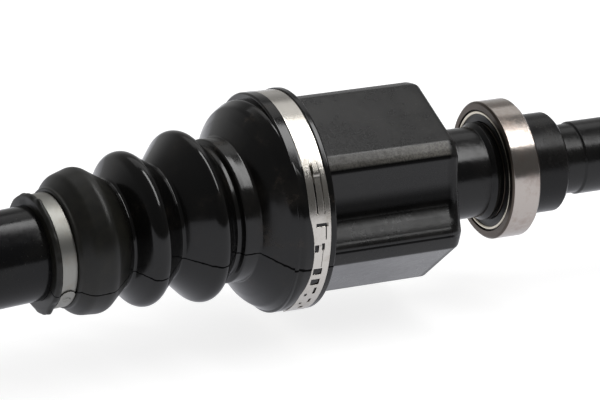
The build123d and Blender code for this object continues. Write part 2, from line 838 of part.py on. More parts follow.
large_band_plane = across_housing((clamp_left + clamp_right) / 2)
save(band_clamp(large_band_plane, boot_seat_radius, clamp_width, large_ear_angle), "inner_boot_large_clamp")
small_band_plane = across_shaft(-small_clamp_station)
save(band_clamp(small_band_plane, small_seat_radius, small_clamp_width, small_ear_angle),
     "inner_boot_small_clamp")

# Ball joint: inner race, cage and balls
ball_angles = [90 + 360 * k / cv_ball_count for k in range(cv_ball_count)]


def cut_tracks(track_radius, front, back):
    """Rounded tracks for the balls: a circle turned about the joint centre in each ball's plane."""
    for track_angle in ball_angles:
        outward = radial(wheel_side, shaft_up, track_angle)
        tangent = wheel_dir.cross(outward)
        a = math.radians(front)
        start_dir = outward * math.cos(a) - wheel_dir * math.sin(a)
        start_point = wheel_centre + start_dir * cv_ball_circle
        turn = Axis(wheel_centre, tangent)
        with BuildSketch(Plane(start_point, x_dir=start_dir, z_dir=start_dir.cross(tangent))) as track:
            Circle(track_radius)
        revolve(track.sketch, axis=turn, revolution_arc=-(front + back), mode=Mode.SUBTRACT)


with BuildPart() as cv_inner_race:
    with BuildSketch(wheel_frame):
        half = cv_inner_width / 2
        edge = sphere_x(cv_inner_radius, half)
        with BuildLine():
            Polyline((-half, edge), (-half, stub_bar_radius), (half, stub_bar_radius), (half, edge))
            ThreePointArc((half, edge), (0, cv_inner_radius), (-half, edge))
        make_face()
    revolve(axis=wheel_axis)
    cut_tracks(cv_ball_radius + cv_inner_track_gap, cv_inner_track_reach, cv_inner_track_reach)
save(cv_inner_race, "cv_inner_race")

with BuildPart() as cv_cage:
    with BuildSketch(wheel_frame):
        half = cv_cage_width / 2
        with BuildLine():
            ThreePointArc(
                (half, sphere_x(cv_cage_outer, half)),
                (0, cv_cage_outer),
                (-half, sphere_x(cv_cage_outer, half)),
            )
            ThreePointArc(
                (half, sphere_x(cv_cage_inner, half)),
                (0, cv_cage_inner),
                (-half, sphere_x(cv_cage_inner, half)),
            )
            for end in (-half, half):
                Line((end, sphere_x(cv_cage_inner, half)), (end, sphere_x(cv_cage_outer, half)))
        make_face()
    revolve(axis=wheel_axis)
    for track_angle in ball_angles:
        outward = radial(wheel_side, shaft_up, track_angle)
        with BuildSketch(Plane(origin=wheel_centre, x_dir=wheel_dir, z_dir=outward)):
            Circle(cv_ball_radius + cv_window_gap)
        extrude(amount=cv_cage_outer + 1, mode=Mode.SUBTRACT)
save(cv_cage, "cv_cage")

with BuildPart(across_wheel(0)) as cv_balls:
    with PolarLocations(cv_ball_circle, cv_ball_count, start_angle=90):
        Sphere(cv_ball_radius)
save(cv_balls, "cv_balls")

# Ball joint: bell with its tracks, and the splined and threaded wheel stub in one piece
pilot_end = wheel_shoulder + wheel_pilot_length
wheel_spline_end = pilot_end + wheel_spline_length
with BuildPart() as cv_outer_race:
    with BuildSketch(wheel_frame):
        with BuildLine():
            Polyline(
                (-cv_mouth_depth, 0),
                (-cv_mouth_depth, bell_radius - mouth_chamfer),
                (-cv_mouth_depth + mouth_chamfer, bell_radius),
                (bell_straight, bell_radius),
            )
            ThreePointArc(
                (bell_straight, bell_radius),
                (bell_straight + bell_round_share * (bell_back - bell_straight),
                 (bell_radius + bell_neck_radius) / 2),
                (bell_back, bell_neck_radius),
            )
            Polyline(
                (bell_back, bell_neck_radius),
                (wheel_shoulder, bell_neck_radius),
                (wheel_shoulder, wheel_pilot_radius),
                (pilot_end, wheel_pilot_radius),
                (pilot_end, wheel_spline_radius),
                (wheel_spline_end - end_chamfer, wheel_spline_radius),
                (wheel_spline_end, thread_radius),
                (wheel_spline_end + thread_length - end_chamfer, thread_radius),
                (wheel_spline_end + thread_length, thread_radius - end_chamfer),
                (wheel_spline_end + thread_length, 0),
                (-cv_mouth_depth, 0),
            )
        make_face()
    revolve(axis=wheel_axis)
    with BuildSketch(wheel_frame):
        with BuildLine():
            cone_x = sphere_x(cv_outer_bore, cv_bore_lip_radius)
            Polyline(
                (-cv_mouth_depth, 0),
                (-cv_mouth_depth, cv_mouth_radius),
                (-cone_x, cv_bore_lip_radius),
            )
            ThreePointArc((-cone_x, cv_bore_lip_radius), (cone_x, cv_bore_lip_radius), (cv_outer_bore, 0))
            Line((cv_outer_bore, 0), (-cv_mouth_depth, 0))
        make_face()
    revolve(axis=wheel_axis, mode=Mode.SUBTRACT)
    cut_tracks(cv_ball_radius + cv_outer_track_gap, cv_track_front, cv_track_back)
    with BuildSketch(across_wheel(wheel_spline_end)):
        with PolarLocations(wheel_spline_radius, wheel_spline_teeth):
            Trapezoid(
                (wheel_spline_radius - wheel_spline_root) * spline_cut_share,
                2 * (wheel_spline_radius - wheel_spline_root),
                spline_flank_angle,
                rotation=-90,
            )
    extrude(amount=-(wheel_spline_length - end_chamfer), mode=Mode.SUBTRACT)
save(cv_outer_race, "cv_outer_race")

# Outer boot: stepped bellows from the bell to the tube
outer_seat_end = outer_seat_start + outer_seat_length
outer_boot_seat_radius = bell_radius + boot_gap + outer_seat_wall
outer_boot_collar_radius = outer_boot_seat_radius + outer_collar_rise
with BuildPart() as outer_boot:
    with BuildSketch(wheel_frame) as outer_boot_section:
        seat_right = -outer_seat_start
        seat_left = -outer_seat_end
        clamp_low = -outer_small_clamp_station + small_clamp_width / 2
        clamp_high = -outer_small_clamp_station - small_clamp_width / 2
        rim_end = clamp_high - small_rim_width
        bell_bore = bell_radius + boot_gap
        with BuildLine():
            Polyline(
                (-cv_mouth_depth - boot_gap, bell_bore - boot_wall),
                (-cv_mouth_depth - boot_gap, bell_bore),
                (seat_right + outer_lip_width, bell_bore),
                (seat_right + outer_lip_width, outer_boot_collar_radius),
                (seat_right, outer_boot_collar_radius),
                (seat_right, outer_boot_seat_radius),
                (seat_left, outer_boot_seat_radius),
                (seat_left, outer_boot_collar_radius),
                (seat_left - outer_collar_land, outer_boot_collar_radius),
                (-cv_mouth_depth - boot_wall, outer_boot_collar_radius - mouth_chamfer),
                (-outer_valley_stations[0], outer_valley_radii[0]),
            )
            Line(
                (-cv_mouth_depth - boot_gap, bell_bore - boot_wall),
                (-outer_valley_stations[0], outer_valley_radii[0] - boot_wall),
            )
            for k in range(5):
                for drop in (0, boot_wall):
                    crest = (-outer_peak_stations[k], outer_peak_radii[k] - drop)
                    crest_near = (crest[0] + crest_half_width, crest[1] - crest_drop)
                    crest_far = (crest[0] - crest_half_width, crest[1] - crest_drop)
                    Line((-outer_valley_stations[k], outer_valley_radii[k] - drop), crest_near)
                    ThreePointArc(crest_near, crest, crest_far)
                    Line(crest_far, (-outer_valley_stations[k + 1], outer_valley_radii[k + 1] - drop))
            Polyline(
                (-outer_valley_stations[5], outer_valley_radii[5]),
                (clamp_low, outer_valley_radii[5]),
                (clamp_low, small_seat_radius),
                (clamp_high, small_seat_radius),
                (clamp_high, small_rim_radius),
                (rim_end + rim_rounding, small_rim_radius),
                (rim_end, small_rim_radius - rim_rounding),
                (rim_end, bore),
                (-outer_valley_stations[5], bore),
                (-outer_valley_stations[5], outer_valley_radii[5] - boot_wall),
            )
        make_face()
    revolve(axis=wheel_axis)
save(outer_boot, "outer_boot")

outer_large_plane = across_wheel(-(outer_seat_start + outer_seat_end) / 2)
save(band_clamp(outer_large_plane, outer_boot_seat_radius, outer_seat_length, large_ear_angle),
     "outer_boot_large_clamp")
outer_small_plane = across_wheel(-outer_small_clamp_station)
save(band_clamp(outer_small_plane, small_seat_radius, small_clamp_width, small_ear_angle),
     "outer_boot_small_clamp")
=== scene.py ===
import json
import math

import bpy
import numpy as np
from mathutils import Matrix, Vector


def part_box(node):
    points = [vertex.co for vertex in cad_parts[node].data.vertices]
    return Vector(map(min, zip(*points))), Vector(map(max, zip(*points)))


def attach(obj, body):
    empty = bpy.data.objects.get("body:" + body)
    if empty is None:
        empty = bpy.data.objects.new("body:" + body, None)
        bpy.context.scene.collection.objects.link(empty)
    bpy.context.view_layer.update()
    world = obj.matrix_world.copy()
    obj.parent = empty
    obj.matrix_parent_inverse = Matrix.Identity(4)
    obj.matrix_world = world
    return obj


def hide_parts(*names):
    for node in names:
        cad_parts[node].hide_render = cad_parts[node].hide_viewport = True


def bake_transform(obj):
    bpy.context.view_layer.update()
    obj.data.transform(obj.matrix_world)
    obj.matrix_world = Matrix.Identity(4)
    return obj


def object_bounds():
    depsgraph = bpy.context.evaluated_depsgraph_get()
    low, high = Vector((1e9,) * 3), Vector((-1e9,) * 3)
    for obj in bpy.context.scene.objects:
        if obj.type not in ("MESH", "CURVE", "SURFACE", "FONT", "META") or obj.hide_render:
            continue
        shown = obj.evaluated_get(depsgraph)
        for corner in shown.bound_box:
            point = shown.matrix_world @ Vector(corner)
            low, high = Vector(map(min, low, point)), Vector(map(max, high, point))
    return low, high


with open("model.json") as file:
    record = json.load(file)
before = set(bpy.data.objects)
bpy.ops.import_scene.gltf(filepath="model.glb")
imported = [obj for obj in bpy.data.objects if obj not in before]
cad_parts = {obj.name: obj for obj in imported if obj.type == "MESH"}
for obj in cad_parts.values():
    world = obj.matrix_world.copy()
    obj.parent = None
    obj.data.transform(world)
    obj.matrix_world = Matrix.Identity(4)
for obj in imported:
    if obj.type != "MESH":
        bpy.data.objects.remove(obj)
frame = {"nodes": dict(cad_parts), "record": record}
cad_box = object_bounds()

# Lengths are in millimetres here and become metres when a surface is made.
MM = 0.001

# The three frames of the part: the housing, the bent shaft and the ball joint at the wheel end.
# Each is an origin, an axis, a side direction and an up direction.
YAW = math.radians(5.5)
PITCH = math.radians(1.5)
ALONG = np.array([
    math.cos(PITCH) * math.cos(YAW), math.cos(PITCH) * math.sin(YAW), math.sin(PITCH)])
UP = np.array([
    -math.sin(PITCH) * math.cos(YAW), -math.sin(PITCH) * math.sin(YAW), math.cos(PITCH)])
SIDE = np.cross(UP, ALONG)
JOINT_DISTANCE = 400.0
TRIPOD = np.array([-93.0, 0.0, 0.0])
WHEEL = TRIPOD - JOINT_DISTANCE * ALONG
HOUSING_FRAME = (np.zeros(3), np.array([1.0, 0, 0]), np.array([0, 1.0, 0]), np.array([0, 0, 1.0]))
SHAFT_FRAME = (TRIPOD, ALONG, SIDE, UP)
WHEEL_FRAME = (WHEEL, -ALONG, -SIDE, UP)

# Sizes that the solids have too: stations along the axis, then radii, then the boot's wall
MOUTH = -114.0
CLAMP_RIGHT = -102.8
CLAMP_LEFT = -112.8
COLLAR_LEFT = -118.0
SMALL_CLAMP = -126.0
SEAT_RADIUS = 47.2
COLLAR_RADIUS = 48.3
LIP_RADIUS = 48.6
SMALL_SEAT = 23.4
SMALL_RIM = 26.0
TUBE_RADIUS = 20.4
BOOT_WALL = 2.3

# The housing's outline: radius of its ridges and of the bottom of its dips, the angle about X of
# the middle of the front dip, and the angles from there to the two edges of a ridge
RIDGE_RADIUS = 43.6
DIP_RADIUS = 38.6
FRONT_DIP = math.radians(173)
DIP_HALF = math.radians(22.3)
RIDGE_HALF = math.radians(33.3)


# Surfaces

def ring_point(axes, station, radius, angle):
    """Origin + station times the axis + radius times (side cos angle + up sin angle)."""
    origin, along, side, up = axes
    station, radius, angle = np.broadcast_arrays(station, radius, angle)
    turn = np.cos(angle)[..., None] * side + np.sin(angle)[..., None] * up
    return origin + station[..., None] * along + radius[..., None] * turn


def even_steps(points, spacing):
    """The same line with its points at even distances along it."""
    points = np.asarray(points, float)
    points = points[np.r_[True, np.linalg.norm(np.diff(points, axis=0), axis=1) > 1e-6]]
    walked = np.r_[0, np.cumsum(np.linalg.norm(np.diff(points, axis=0), axis=1))]
    stops = np.linspace(0, walked[-1], max(int(round(walked[-1] / spacing)), 2) + 1)
    return np.stack([np.interp(stops, walked, points[:, k]) for k in range(2)], -1)


def softened(points, reach, spacing, out):
    """A line whose corners are rounded: points at spacing, each the mean of its neighbours within
    reach, ends held, and then points at even steps of out."""
    fine = even_steps(points, spacing)
    half = max(int(round(reach / spacing)), 1)
    before = 2 * fine[0] - fine[half:0:-1]
    after = 2 * fine[-1] - fine[-2:-half - 2:-1]
    padded = np.vstack([before, fine, after])
    kernel = np.ones(2 * half + 1) / (2 * half + 1)
    smooth = np.stack([np.convolve(padded[:, k], kernel, "valid") for k in range(2)], -1)
    return even_steps(smooth, out)


def filleted(corners, out, steps=12):
    """A line through (station, radius, fillet) corners: at each inner corner the arc of its fillet
    that touches both sides, kept within half of the shorter side, then even points."""
    corners = np.asarray(corners, float)
    here = corners[1:-1, :2]
    back, ahead = corners[:-2, :2] - here, corners[2:, :2] - here
    long_back, long_ahead = np.linalg.norm(back, axis=1), np.linalg.norm(ahead, axis=1)
    back, ahead = back / long_back[:, None], ahead / long_ahead[:, None]
    half = np.arccos(np.clip(np.sum(back * ahead, axis=1), -0.9999, 0.9999)) / 2
    reach = np.minimum(corners[1:-1, 2] / np.tan(half), 0.48 * np.minimum(long_back, long_ahead))
    radius = reach * np.tan(half)
    middle = back + ahead
    middle = middle / np.linalg.norm(middle, axis=1)[:, None]
    centre = here + middle * (radius / np.sin(half))[:, None]
    first, last = here + back * reach[:, None] - centre, here + ahead * reach[:, None] - centre
    start = np.arctan2(first[:, 1], first[:, 0])
    sweep = (np.arctan2(last[:, 1], last[:, 0]) - start + math.pi) % math.tau - math.pi
    turn = start[:, None] + sweep[:, None] * np.linspace(0, 1, steps)
    arcs = np.stack([np.cos(turn), np.sin(turn)], -1) * radius[:, None, None] + centre[:, None]
    return even_steps(np.vstack([corners[:1, :2], arcs.reshape(-1, 2), corners[-1:, :2]]), out)


def placed(name, data):
    """The scene object for some data, at the origin."""
    obj = bpy.data.objects.new(name, data)
    bpy.context.scene.collection.objects.link(obj)
    return obj


def quad_object(name, points, quads, uvs, sharp=0):
    """Smooth quads over points in millimetres, with a UV for each of their corners. Edges that
    turn by more than sharp degrees stay sharp, unless it is 0."""
    mesh = bpy.data.meshes.new(name)
    mesh.from_pydata((points * MM).tolist(), [], quads.tolist())
    layer = mesh.uv_layers.new(name="surface")
    layer.data.foreach_set("uv", np.ascontiguousarray(uvs, dtype=np.float32).ravel())
    mesh.shade_smooth()
    if sharp:
        mesh.set_sharp_from_angle(angle=math.radians(sharp))
    return placed(name, mesh)


def cell_corners(grid):
    """The four corners of each cell of a grid, in order round the cell."""
    return [grid[:-1, :-1], grid[1:, :-1], grid[1:, 1:], grid[:-1, 1:]]


def even_uv(rows, columns):
    """UVs that run from 0 to 1 over the rows and over the columns of a grid."""
    u, v = np.meshgrid(np.linspace(0, 1, rows), np.linspace(0, 1, columns), indexing="ij")
    return np.stack([u, v], -1)


def skin(name, points, round_rows=True, round_columns=True, uv=None, sharp=32):
    """Quads over a grid of points (rows, columns, 3), in millimetres, closed in either direction.
    The faces are turned outwards by the sign of the volume that they enclose about their own
    middle."""
    rows, columns = points.shape[:2]
    index = np.arange(rows * columns).reshape(rows, columns)
    if round_rows:
        index = np.vstack([index, index[:1]])
    if round_columns:
        index = np.hstack([index, index[:, :1]])
    if uv is None:
        uv = even_uv(*index.shape)
    quads = np.stack(cell_corners(index), -1).reshape(-1, 4)
    uvs = np.stack(cell_corners(uv), -2).reshape(-1, 4, 2)
    flat = points.reshape(-1, 3)
    a, b, c, d = (flat[quads[:, k]] - flat.mean(0) for k in range(4))
    if np.einsum("ij,ij->", a, np.cross(b, c)) + np.einsum("ij,ij->", a, np.cross(c, d)) < 0:
        quads, uvs = quads[:, ::-1], uvs[:, ::-1]
    return quad_object(name, flat, quads, uvs, sharp)


def turned(name, axes, outer, inner, around, reshape=None, sharp=32, lift=None):
    """A section of (station, radius) points carried round an axis: the outer line and then the
    inner one, back to its start, and lifted along the up direction by a function of the station.
    UV: u is the share of a turn from the side direction, v the station in decimetres."""
    section = np.vstack([outer, inner])
    angle = np.arange(around) / around * math.tau
    station = np.broadcast_to(section[:, 0], (around, len(section)))
    radius = np.broadcast_to(section[:, 1], (around, len(section)))
    if reshape:
        station, radius = reshape(station, radius, angle[:, None], len(outer))
    points = ring_point(axes, station, radius, angle[:, None])
    if lift:
        points = points + lift(station)[..., None] * axes[3]
    share = (np.arange(around + 1) / around)[:, None]
    u = np.broadcast_to(share, (around + 1, len(section) + 1))
    v = np.broadcast_to(np.r_[section[:, 0], section[0, 0]] / 100, u.shape)
    return skin(name, points, uv=np.stack([u, v], -1), sharp=sharp)


def ramp(t):
    """3t squared minus 2t cubed, held at 0 and 1 outside."""
    t = np.clip(t, 0, 1)
    return t * t * (3 - 2 * t)


def bump_at(angle, centre, half_width):
    """1 at the centre angle, falling to 0 as half a cosine at half_width."""
    away = np.abs((angle - centre + math.pi) % math.tau - math.pi)
    return 0.5 + 0.5 * np.cos(math.pi * np.clip(away / half_width, 0, 1))


def housing_outline(angle):
    """Radius of the six-sided housing at an angle: three dipped flats, ridges and plain flats
    between them. Each dip is an arc through the ridge edges, each flat is a chord, and a ridge has
    the full radius."""
    gap = np.abs((angle - FRONT_DIP + math.pi / 3) % (math.tau / 3) - math.pi / 3)
    edge = RIDGE_RADIUS * np.array([math.cos(DIP_HALF), math.sin(DIP_HALF)])
    centre = (DIP_RADIUS ** 2 - edge @ edge) / (2 * (DIP_RADIUS - edge[0]))
    chord = np.sqrt(np.maximum((DIP_RADIUS - centre) ** 2 - (centre * np.sin(gap)) ** 2, 0))
    near, far = centre * np.cos(gap) - chord, centre * np.cos(gap) + chord
    dip = np.where(np.abs(near - 40) < np.abs(far - 40), near, far)
    flat = RIDGE_RADIUS * math.cos(math.pi / 3 - RIDGE_HALF) / np.cos(math.pi / 3 - gap)
    return np.where(gap < DIP_HALF, dip, np.where(gap < RIDGE_HALF, RIDGE_RADIUS, flat))


# Inner boot: cuff on the housing, bell that slides under the cuff, and bellows down to the shaft

def inner_boot_lift(station):
    """The bellows sit a little above the bent axis, most between the second and the third
    convolution: straight lines between the heights below."""
    stations = (-121, -109, -86, -72, -56, -44, -36, -30, -25)
    return np.interp(station, stations, (0, 0.8, 1.45, 2.3, 1.85, 1.7, 1.2, 0.7, 0))


def inner_boot_pieces():
    """Three closed sections: the cuff on the housing, the bell and the bellows."""
    lip_right = CLAMP_RIGHT + 2.8
    cuff_outer = softened([
        (lip_right, 44.6), (lip_right, LIP_RADIUS - 0.5), (lip_right - 0.5, LIP_RADIUS),
        (CLAMP_RIGHT, LIP_RADIUS), (CLAMP_RIGHT, SEAT_RADIUS), (CLAMP_LEFT, SEAT_RADIUS),
        (CLAMP_LEFT, COLLAR_RADIUS), (COLLAR_LEFT + 0.6, COLLAR_RADIUS),
        (COLLAR_LEFT, COLLAR_RADIUS - 0.7), (COLLAR_LEFT + 0.2, 43.0)], 0.22, 0.1, 0.25)
    cuff_inner = even_steps(
        [(COLLAR_LEFT, 40.0), (MOUTH, 40.0), (MOUTH, 43.9), (lip_right, 43.9)], 1.0)

    def lobed_bore(station, radius, angle, outer_count):
        """The bore follows the housing's outline with 0.25 mm of room, and stays 1 mm under it in
        front of the housing's mouth."""
        outline = housing_outline(angle) + 0.25
        column = np.arange(radius.shape[1])
        on_housing = (column >= outer_count) & (station[0] > MOUTH + 0.01)
        radius = np.where(on_housing | (column == 0), outline, radius)
        inside_wall = (column >= outer_count) & ~on_housing
        return station, np.where(inside_wall, np.minimum(radius, outline - 1), radius)

    cuff = turned("inner_boot_cuff", HOUSING_FRAME, cuff_outer, cuff_inner, 240, lobed_bore)

    mouth_radius = COLLAR_RADIUS - 1.5
    mouth_bore = mouth_radius - BOOT_WALL
    hidden = COLLAR_LEFT - TRIPOD[0] + 13.0
    cut = (-52.5, 32.2)
    cut_inner = (cut[0] + 0.9, cut[1] - BOOT_WALL)
    bell_outer = filleted([
        (hidden, mouth_radius, 0), (-26.6, mouth_radius, 3.0), (-31.4, 43.9, 4.5),
        (-35.0, 39.0, 4.5), (-39.6, 31.9, 0.9), (-46.7, 31.7, 0.9), (-47.9, 29.5, 0.5),
        (-50.0, 29.5, 0.8), (*cut, 0)], 0.4)
    bell_inner = filleted([
        (*cut_inner, 0), (-49.4, 29.5 - BOOT_WALL, 1.5), (-38.4, 29.6, 3.0), (-30.0, 41.0, 3.0),
        (-25.0, mouth_bore, 2.0), (hidden, mouth_bore, 0)], 1.6)
    bell = turned(
        "inner_boot_bell", SHAFT_FRAME, bell_outer, bell_inner, 176, lift=inner_boot_lift)

    folds = filleted([
        (*cut, 0), (-59.2, 39.6, 5.4), (-73.5, 24.9, 1.3), (-87.1, 36.3, 5.2), (-95.4, 23.2, 1.3),
        (-107.4, 31.9, 5.5), (-116.6, 30.2, 5.0), (-120.6, 26.0, 0.5), (-121.9, 25.9, 0)], 0.5)
    left = SMALL_CLAMP - 3.6
    small_end = softened([
        (-121.9, 25.9), (-122.2, 25.8), (-122.4, 25.4), (-122.4, SMALL_SEAT), (left, SMALL_SEAT),
        (left, SMALL_RIM - 0.6), (left - 0.6, SMALL_RIM), (left - 1.9, SMALL_RIM - 0.1),
        (left - 2.8, SMALL_RIM - 1.6), (left - 3.0, TUBE_RADIUS + 1.8),
        (left - 3.0, TUBE_RADIUS + 0.2)], 0.4, 0.1, 0.3)
    bore = softened([
        (left - 3.0, TUBE_RADIUS + 0.1), (-117.0, TUBE_RADIUS + 0.1), (-116.0, 25.0 - BOOT_WALL),
        (-107.0, 30.2 - BOOT_WALL), (-95.4, TUBE_RADIUS + 1.0), (-87.1, 34.0 - BOOT_WALL),
        (-73.6, 25.4 - BOOT_WALL), (-59.4, 37.2 - BOOT_WALL), cut_inner], 1.8, 0.5, 1.8)
    top, bottom = math.radians(105), math.radians(-103)

    def lugs(station, radius, angle, outer_count):
        """The rim swells into a peak at the top and a lug at the bottom, as cosines of the angle,
        and ripples by sines of several angles between them."""
        on_rim = np.clip((radius - SMALL_SEAT - 1.2) / 1.2, 0, 1) * (station < left + 0.1)
        lug = np.minimum(1.8 * bump_at(angle, bottom, math.radians(26)), 1.0)
        swell = 1.3 * bump_at(angle, top, math.radians(9)) + 1.5 * lug - 0.7
        ripple = sum(
            height * np.sin(count * angle + phase)
            for height, count, phase in ((0.16, 9, 1.0), (0.12, 17, 0.0), (0.08, 31, 2.0)))
        return station, radius + on_rim * (swell + ripple)

    bellows = turned(
        "inner_boot_bellows", SHAFT_FRAME, np.vstack([folds[:-1], small_end]), bore, 240, lugs,
        lift=inner_boot_lift)
    for piece in (cuff, bell, bellows):
        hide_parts("inner_boot")

    def on_axis(station):
        return tuple((TRIPOD + station * ALONG) * MM)

    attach(cuff, "inboard")
    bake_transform(bell)
    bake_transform(bellows)
    return [cuff, bell, bellows]


# Outer boot: a small end, a middle and a large end

def outer_boot_pieces():
    """Three closed sections of stepped bellows. Stations are measured from the ball joint towards
    the tripod joint, as (station, radius)."""
    valleys = [(19.5, 39.5), (33.5, 34.0), (48.0, 31.0), (61.5, 28.5), (73.5, 26.0), (85.0, 25.4)]
    peaks = [(26.5, 45.0), (40.5, 41.0), (54.5, 37.0), (67.5, 33.5), (79.0, 30.0)]
    wave = [valleys[0]]
    for (station, radius), valley in zip(peaks, valleys[1:]):
        shoulder = radius - 1.4
        wave += [(station - 3.0, shoulder), (station, radius), (station + 3.0, shoulder), valley]
    wave = np.array(wave)
    fine = softened(wave, 0.9, 0.2, 0.5)
    under = softened(wave - (0, BOOT_WALL), 1.2, 0.4, 1.5)
    large_start, first, second, small_start = valleys[0][0], 33.5, 61.5, valleys[-1][0]
    bell_bore = 43.3
    cuff = softened([
        (-1.5, 43.6), (-1.5, 46.2), (1.0, 46.2), (1.0, 45.0), (10.0, 45.0), (10.0, 46.2),
        (11.5, 46.2), (17.3, 45.2), valleys[0]], 0.5, 0.1, 0.4)
    cuff_bore = even_steps([
        (large_start, 39.5 - BOOT_WALL), (15.3, bell_bore - BOOT_WALL), (15.3, bell_bore),
        (-1.5, bell_bore)], 1.2)
    small = softened([
        valleys[-1], (91.4, 25.4), (91.4, SMALL_SEAT), (98.6, SMALL_SEAT), (98.6, SMALL_RIM),
        (102.2, SMALL_RIM), (104.0, SMALL_RIM - 1.9), (104.2, TUBE_RADIUS + 1.8),
        (104.2, TUBE_RADIUS + 0.2)], 0.5, 0.1, 0.4)
    small_bore = even_steps([
        (104.2, TUBE_RADIUS + 0.1), (86.0, TUBE_RADIUS + 0.1),
        (small_start, 25.4 - BOOT_WALL)], 1.4)

    def cut(line, low, high, margin):
        """The line from one station to another: its own points between them, and its ends."""
        ends = [[[station, np.interp(station, line[:, 0], line[:, 1])]] for station in (low, high)]
        between = (line[:, 0] >= low + margin) & (line[:, 0] <= high - margin)
        return np.vstack([ends[0], line[between], ends[1]])

    def wall(low, high):
        """Outer line forwards and inner line backwards."""
        return cut(fine, low, high, 0.2), cut(under, low, high, 0.5)[::-1]

    def flipped(line):
        return np.stack([-line[:, 0], line[:, 1]], -1)

    outer_a, inner_a = wall(large_start, first)
    outer_b, inner_b = wall(first, second)
    outer_c, inner_c = wall(second, small_start)
    sections = (
        ("outer_boot_large_end", [cuff[:-1], outer_a], [inner_a[:-1], cuff_bore]),
        ("outer_boot_middle", [outer_b], [inner_b]),
        ("outer_boot_small_end", [outer_c[:-1], small], [small_bore, inner_c[:-1]]),
    )
    pieces = []
    for name, outer, inner in sections:
        outer, inner = flipped(np.vstack(outer)), flipped(np.vstack(inner))
        pieces.append(turned(name, WHEEL_FRAME, outer, inner, 160))
        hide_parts("outer_boot")

    def on_axis(station):
        return tuple((WHEEL + station * ALONG) * MM)

    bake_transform(pieces[0])
    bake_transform(pieces[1])
    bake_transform(pieces[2])
    return pieces


# Band clamps: a hoop of HOOP thickness, and an outer layer over a part of the turn

HOOP = 0.6

# Slots and windows of the large band: lowest and highest height angle in degrees, and the share of
# the width from the left edge where each starts and ends
LARGE_BAND_HOLES = (
    (3.4, 5.2, 0.28, 0.86), (-3.5, 3.4, 0.74, 0.80), (-10.0, -6.0, 0.24, 0.42),
    (-9.0, -5.6, 0.56, 0.72), (-19.5, -9.0, 0.62, 0.67), (-24.0, -20.0, 0.28, 0.70),
    (-31.5, -27.2, 0.28, 0.70), (-39.5, -34.0, 0.58, 0.70), (-40.8, -38.6, 0.22, 0.34),
    (-49.0, -44.4, 0.58, 0.70), (-50.5, -48.2, 0.22, 0.34), (-58.0, -54.0, 0.40, 0.60),
)
# Its raised hooks: height angle and share of the width
LARGE_BAND_HOOKS = ((-21.8, 0.49), (-29.3, 0.49), (-7.6, 0.48))


def front_angle(axes, height):
    """The angle about an axis for a height angle in degrees, which is 0 in front and 90 on top."""
    return np.radians(height) if axes is WHEEL_FRAME else math.pi - np.radians(height)


def strip_grid(low, high, width, radius, cell):
    """A strip from the height angle high down to low, in cells: the height angle and the share of
    the width at the corners of the cells, and then both at the middles of the cells."""
    height = np.linspace(high, low, int(math.radians(high - low) * radius / cell) + 1)
    across = np.linspace(0, 1, int(width / cell) + 1)
    middles = [(line[:-1] + line[1:]) / 2 for line in (height, across)]
    return (*np.meshgrid(height, across, indexing="ij"), *np.meshgrid(*middles, indexing="ij"))


def band_hoop(name, axes, station, width, inner):
    """A plain hoop: a rounded rectangle carried round the axis."""
    half, outer = width / 2, inner + HOOP
    line = softened(
        [(half, inner), (half, outer), (-half, outer), (-half, inner)], 0.12, 0.05, 0.3)
    line[:, 0] += station
    back = even_steps([(station - half, inner), (station + half, inner)], 2.0)[1:-1]
    return turned(name, axes, line, back, 200, sharp=40)


def outer_layer(name, points, keep, thickness):
    """The cells of keep in a grid of points, given a thickness outwards by Solidify, so that the
    holes have walls."""
    rows, columns = points.shape[:2]
    index = np.arange(rows * columns).reshape(rows, columns)
    quads = np.stack(cell_corners(index), -1)[keep]
    uvs = even_uv(rows, columns).reshape(-1, 2)[quads]
    used, quads = np.unique(quads, return_inverse=True)
    layer = quad_object(
        name + "_outer_layer", points.reshape(-1, 3)[used], quads.reshape(-1, 4), uvs)
    solid = layer.modifiers.new("thickness", "SOLIDIFY")
    solid.thickness = thickness * MM
    solid.offset = 1
    solid.use_even_offset = True
    return layer


def large_band(name, axes, station, width, inner):
    """Hook-and-window band: a hoop, and over its front an outer layer with slots, windows and a
    narrow tongue. The layer rises by a Gauss bump on each hook and by smooth steps elsewhere."""
    outer = inner + HOOP
    low, high, tongue_from = -66.0, 36.0, 28
    height, across, mid_height, mid_across = strip_grid(low, high, width, outer, 0.25)
    keep = (
        (mid_height < 10) | ((mid_across > 0.41) & (mid_across < 0.71))
        | ((mid_height < 33) & (mid_across > 0.76)) | ((mid_height < 35) & (mid_across < 0.33)))
    for bottom, top, left, right in LARGE_BAND_HOLES:
        in_height = (mid_height > bottom) & (mid_height < top)
        keep &= ~(in_height & (mid_across > left) & (mid_across < right))
    lift = 0.10 + 0.16 * ramp((high - height) / 12)
    for hook_height, hook_across in LARGE_BAND_HOOKS:
        away = ((height - hook_height) / 1.6) ** 2 + ((across - hook_across) / 0.14) ** 2
        lift = lift + 0.5 * np.exp(-away)
    on_tongue = (across > 0.41) & (across < 0.71)
    lift = lift + 0.7 * on_tongue * ramp((height - tongue_from) / 3)
    points = ring_point(
        axes, station + (across - 0.5) * width, outer + lift, front_angle(axes, height))
    return [band_hoop(name, axes, station, width, inner), outer_layer(name, points, keep, 0.4)]


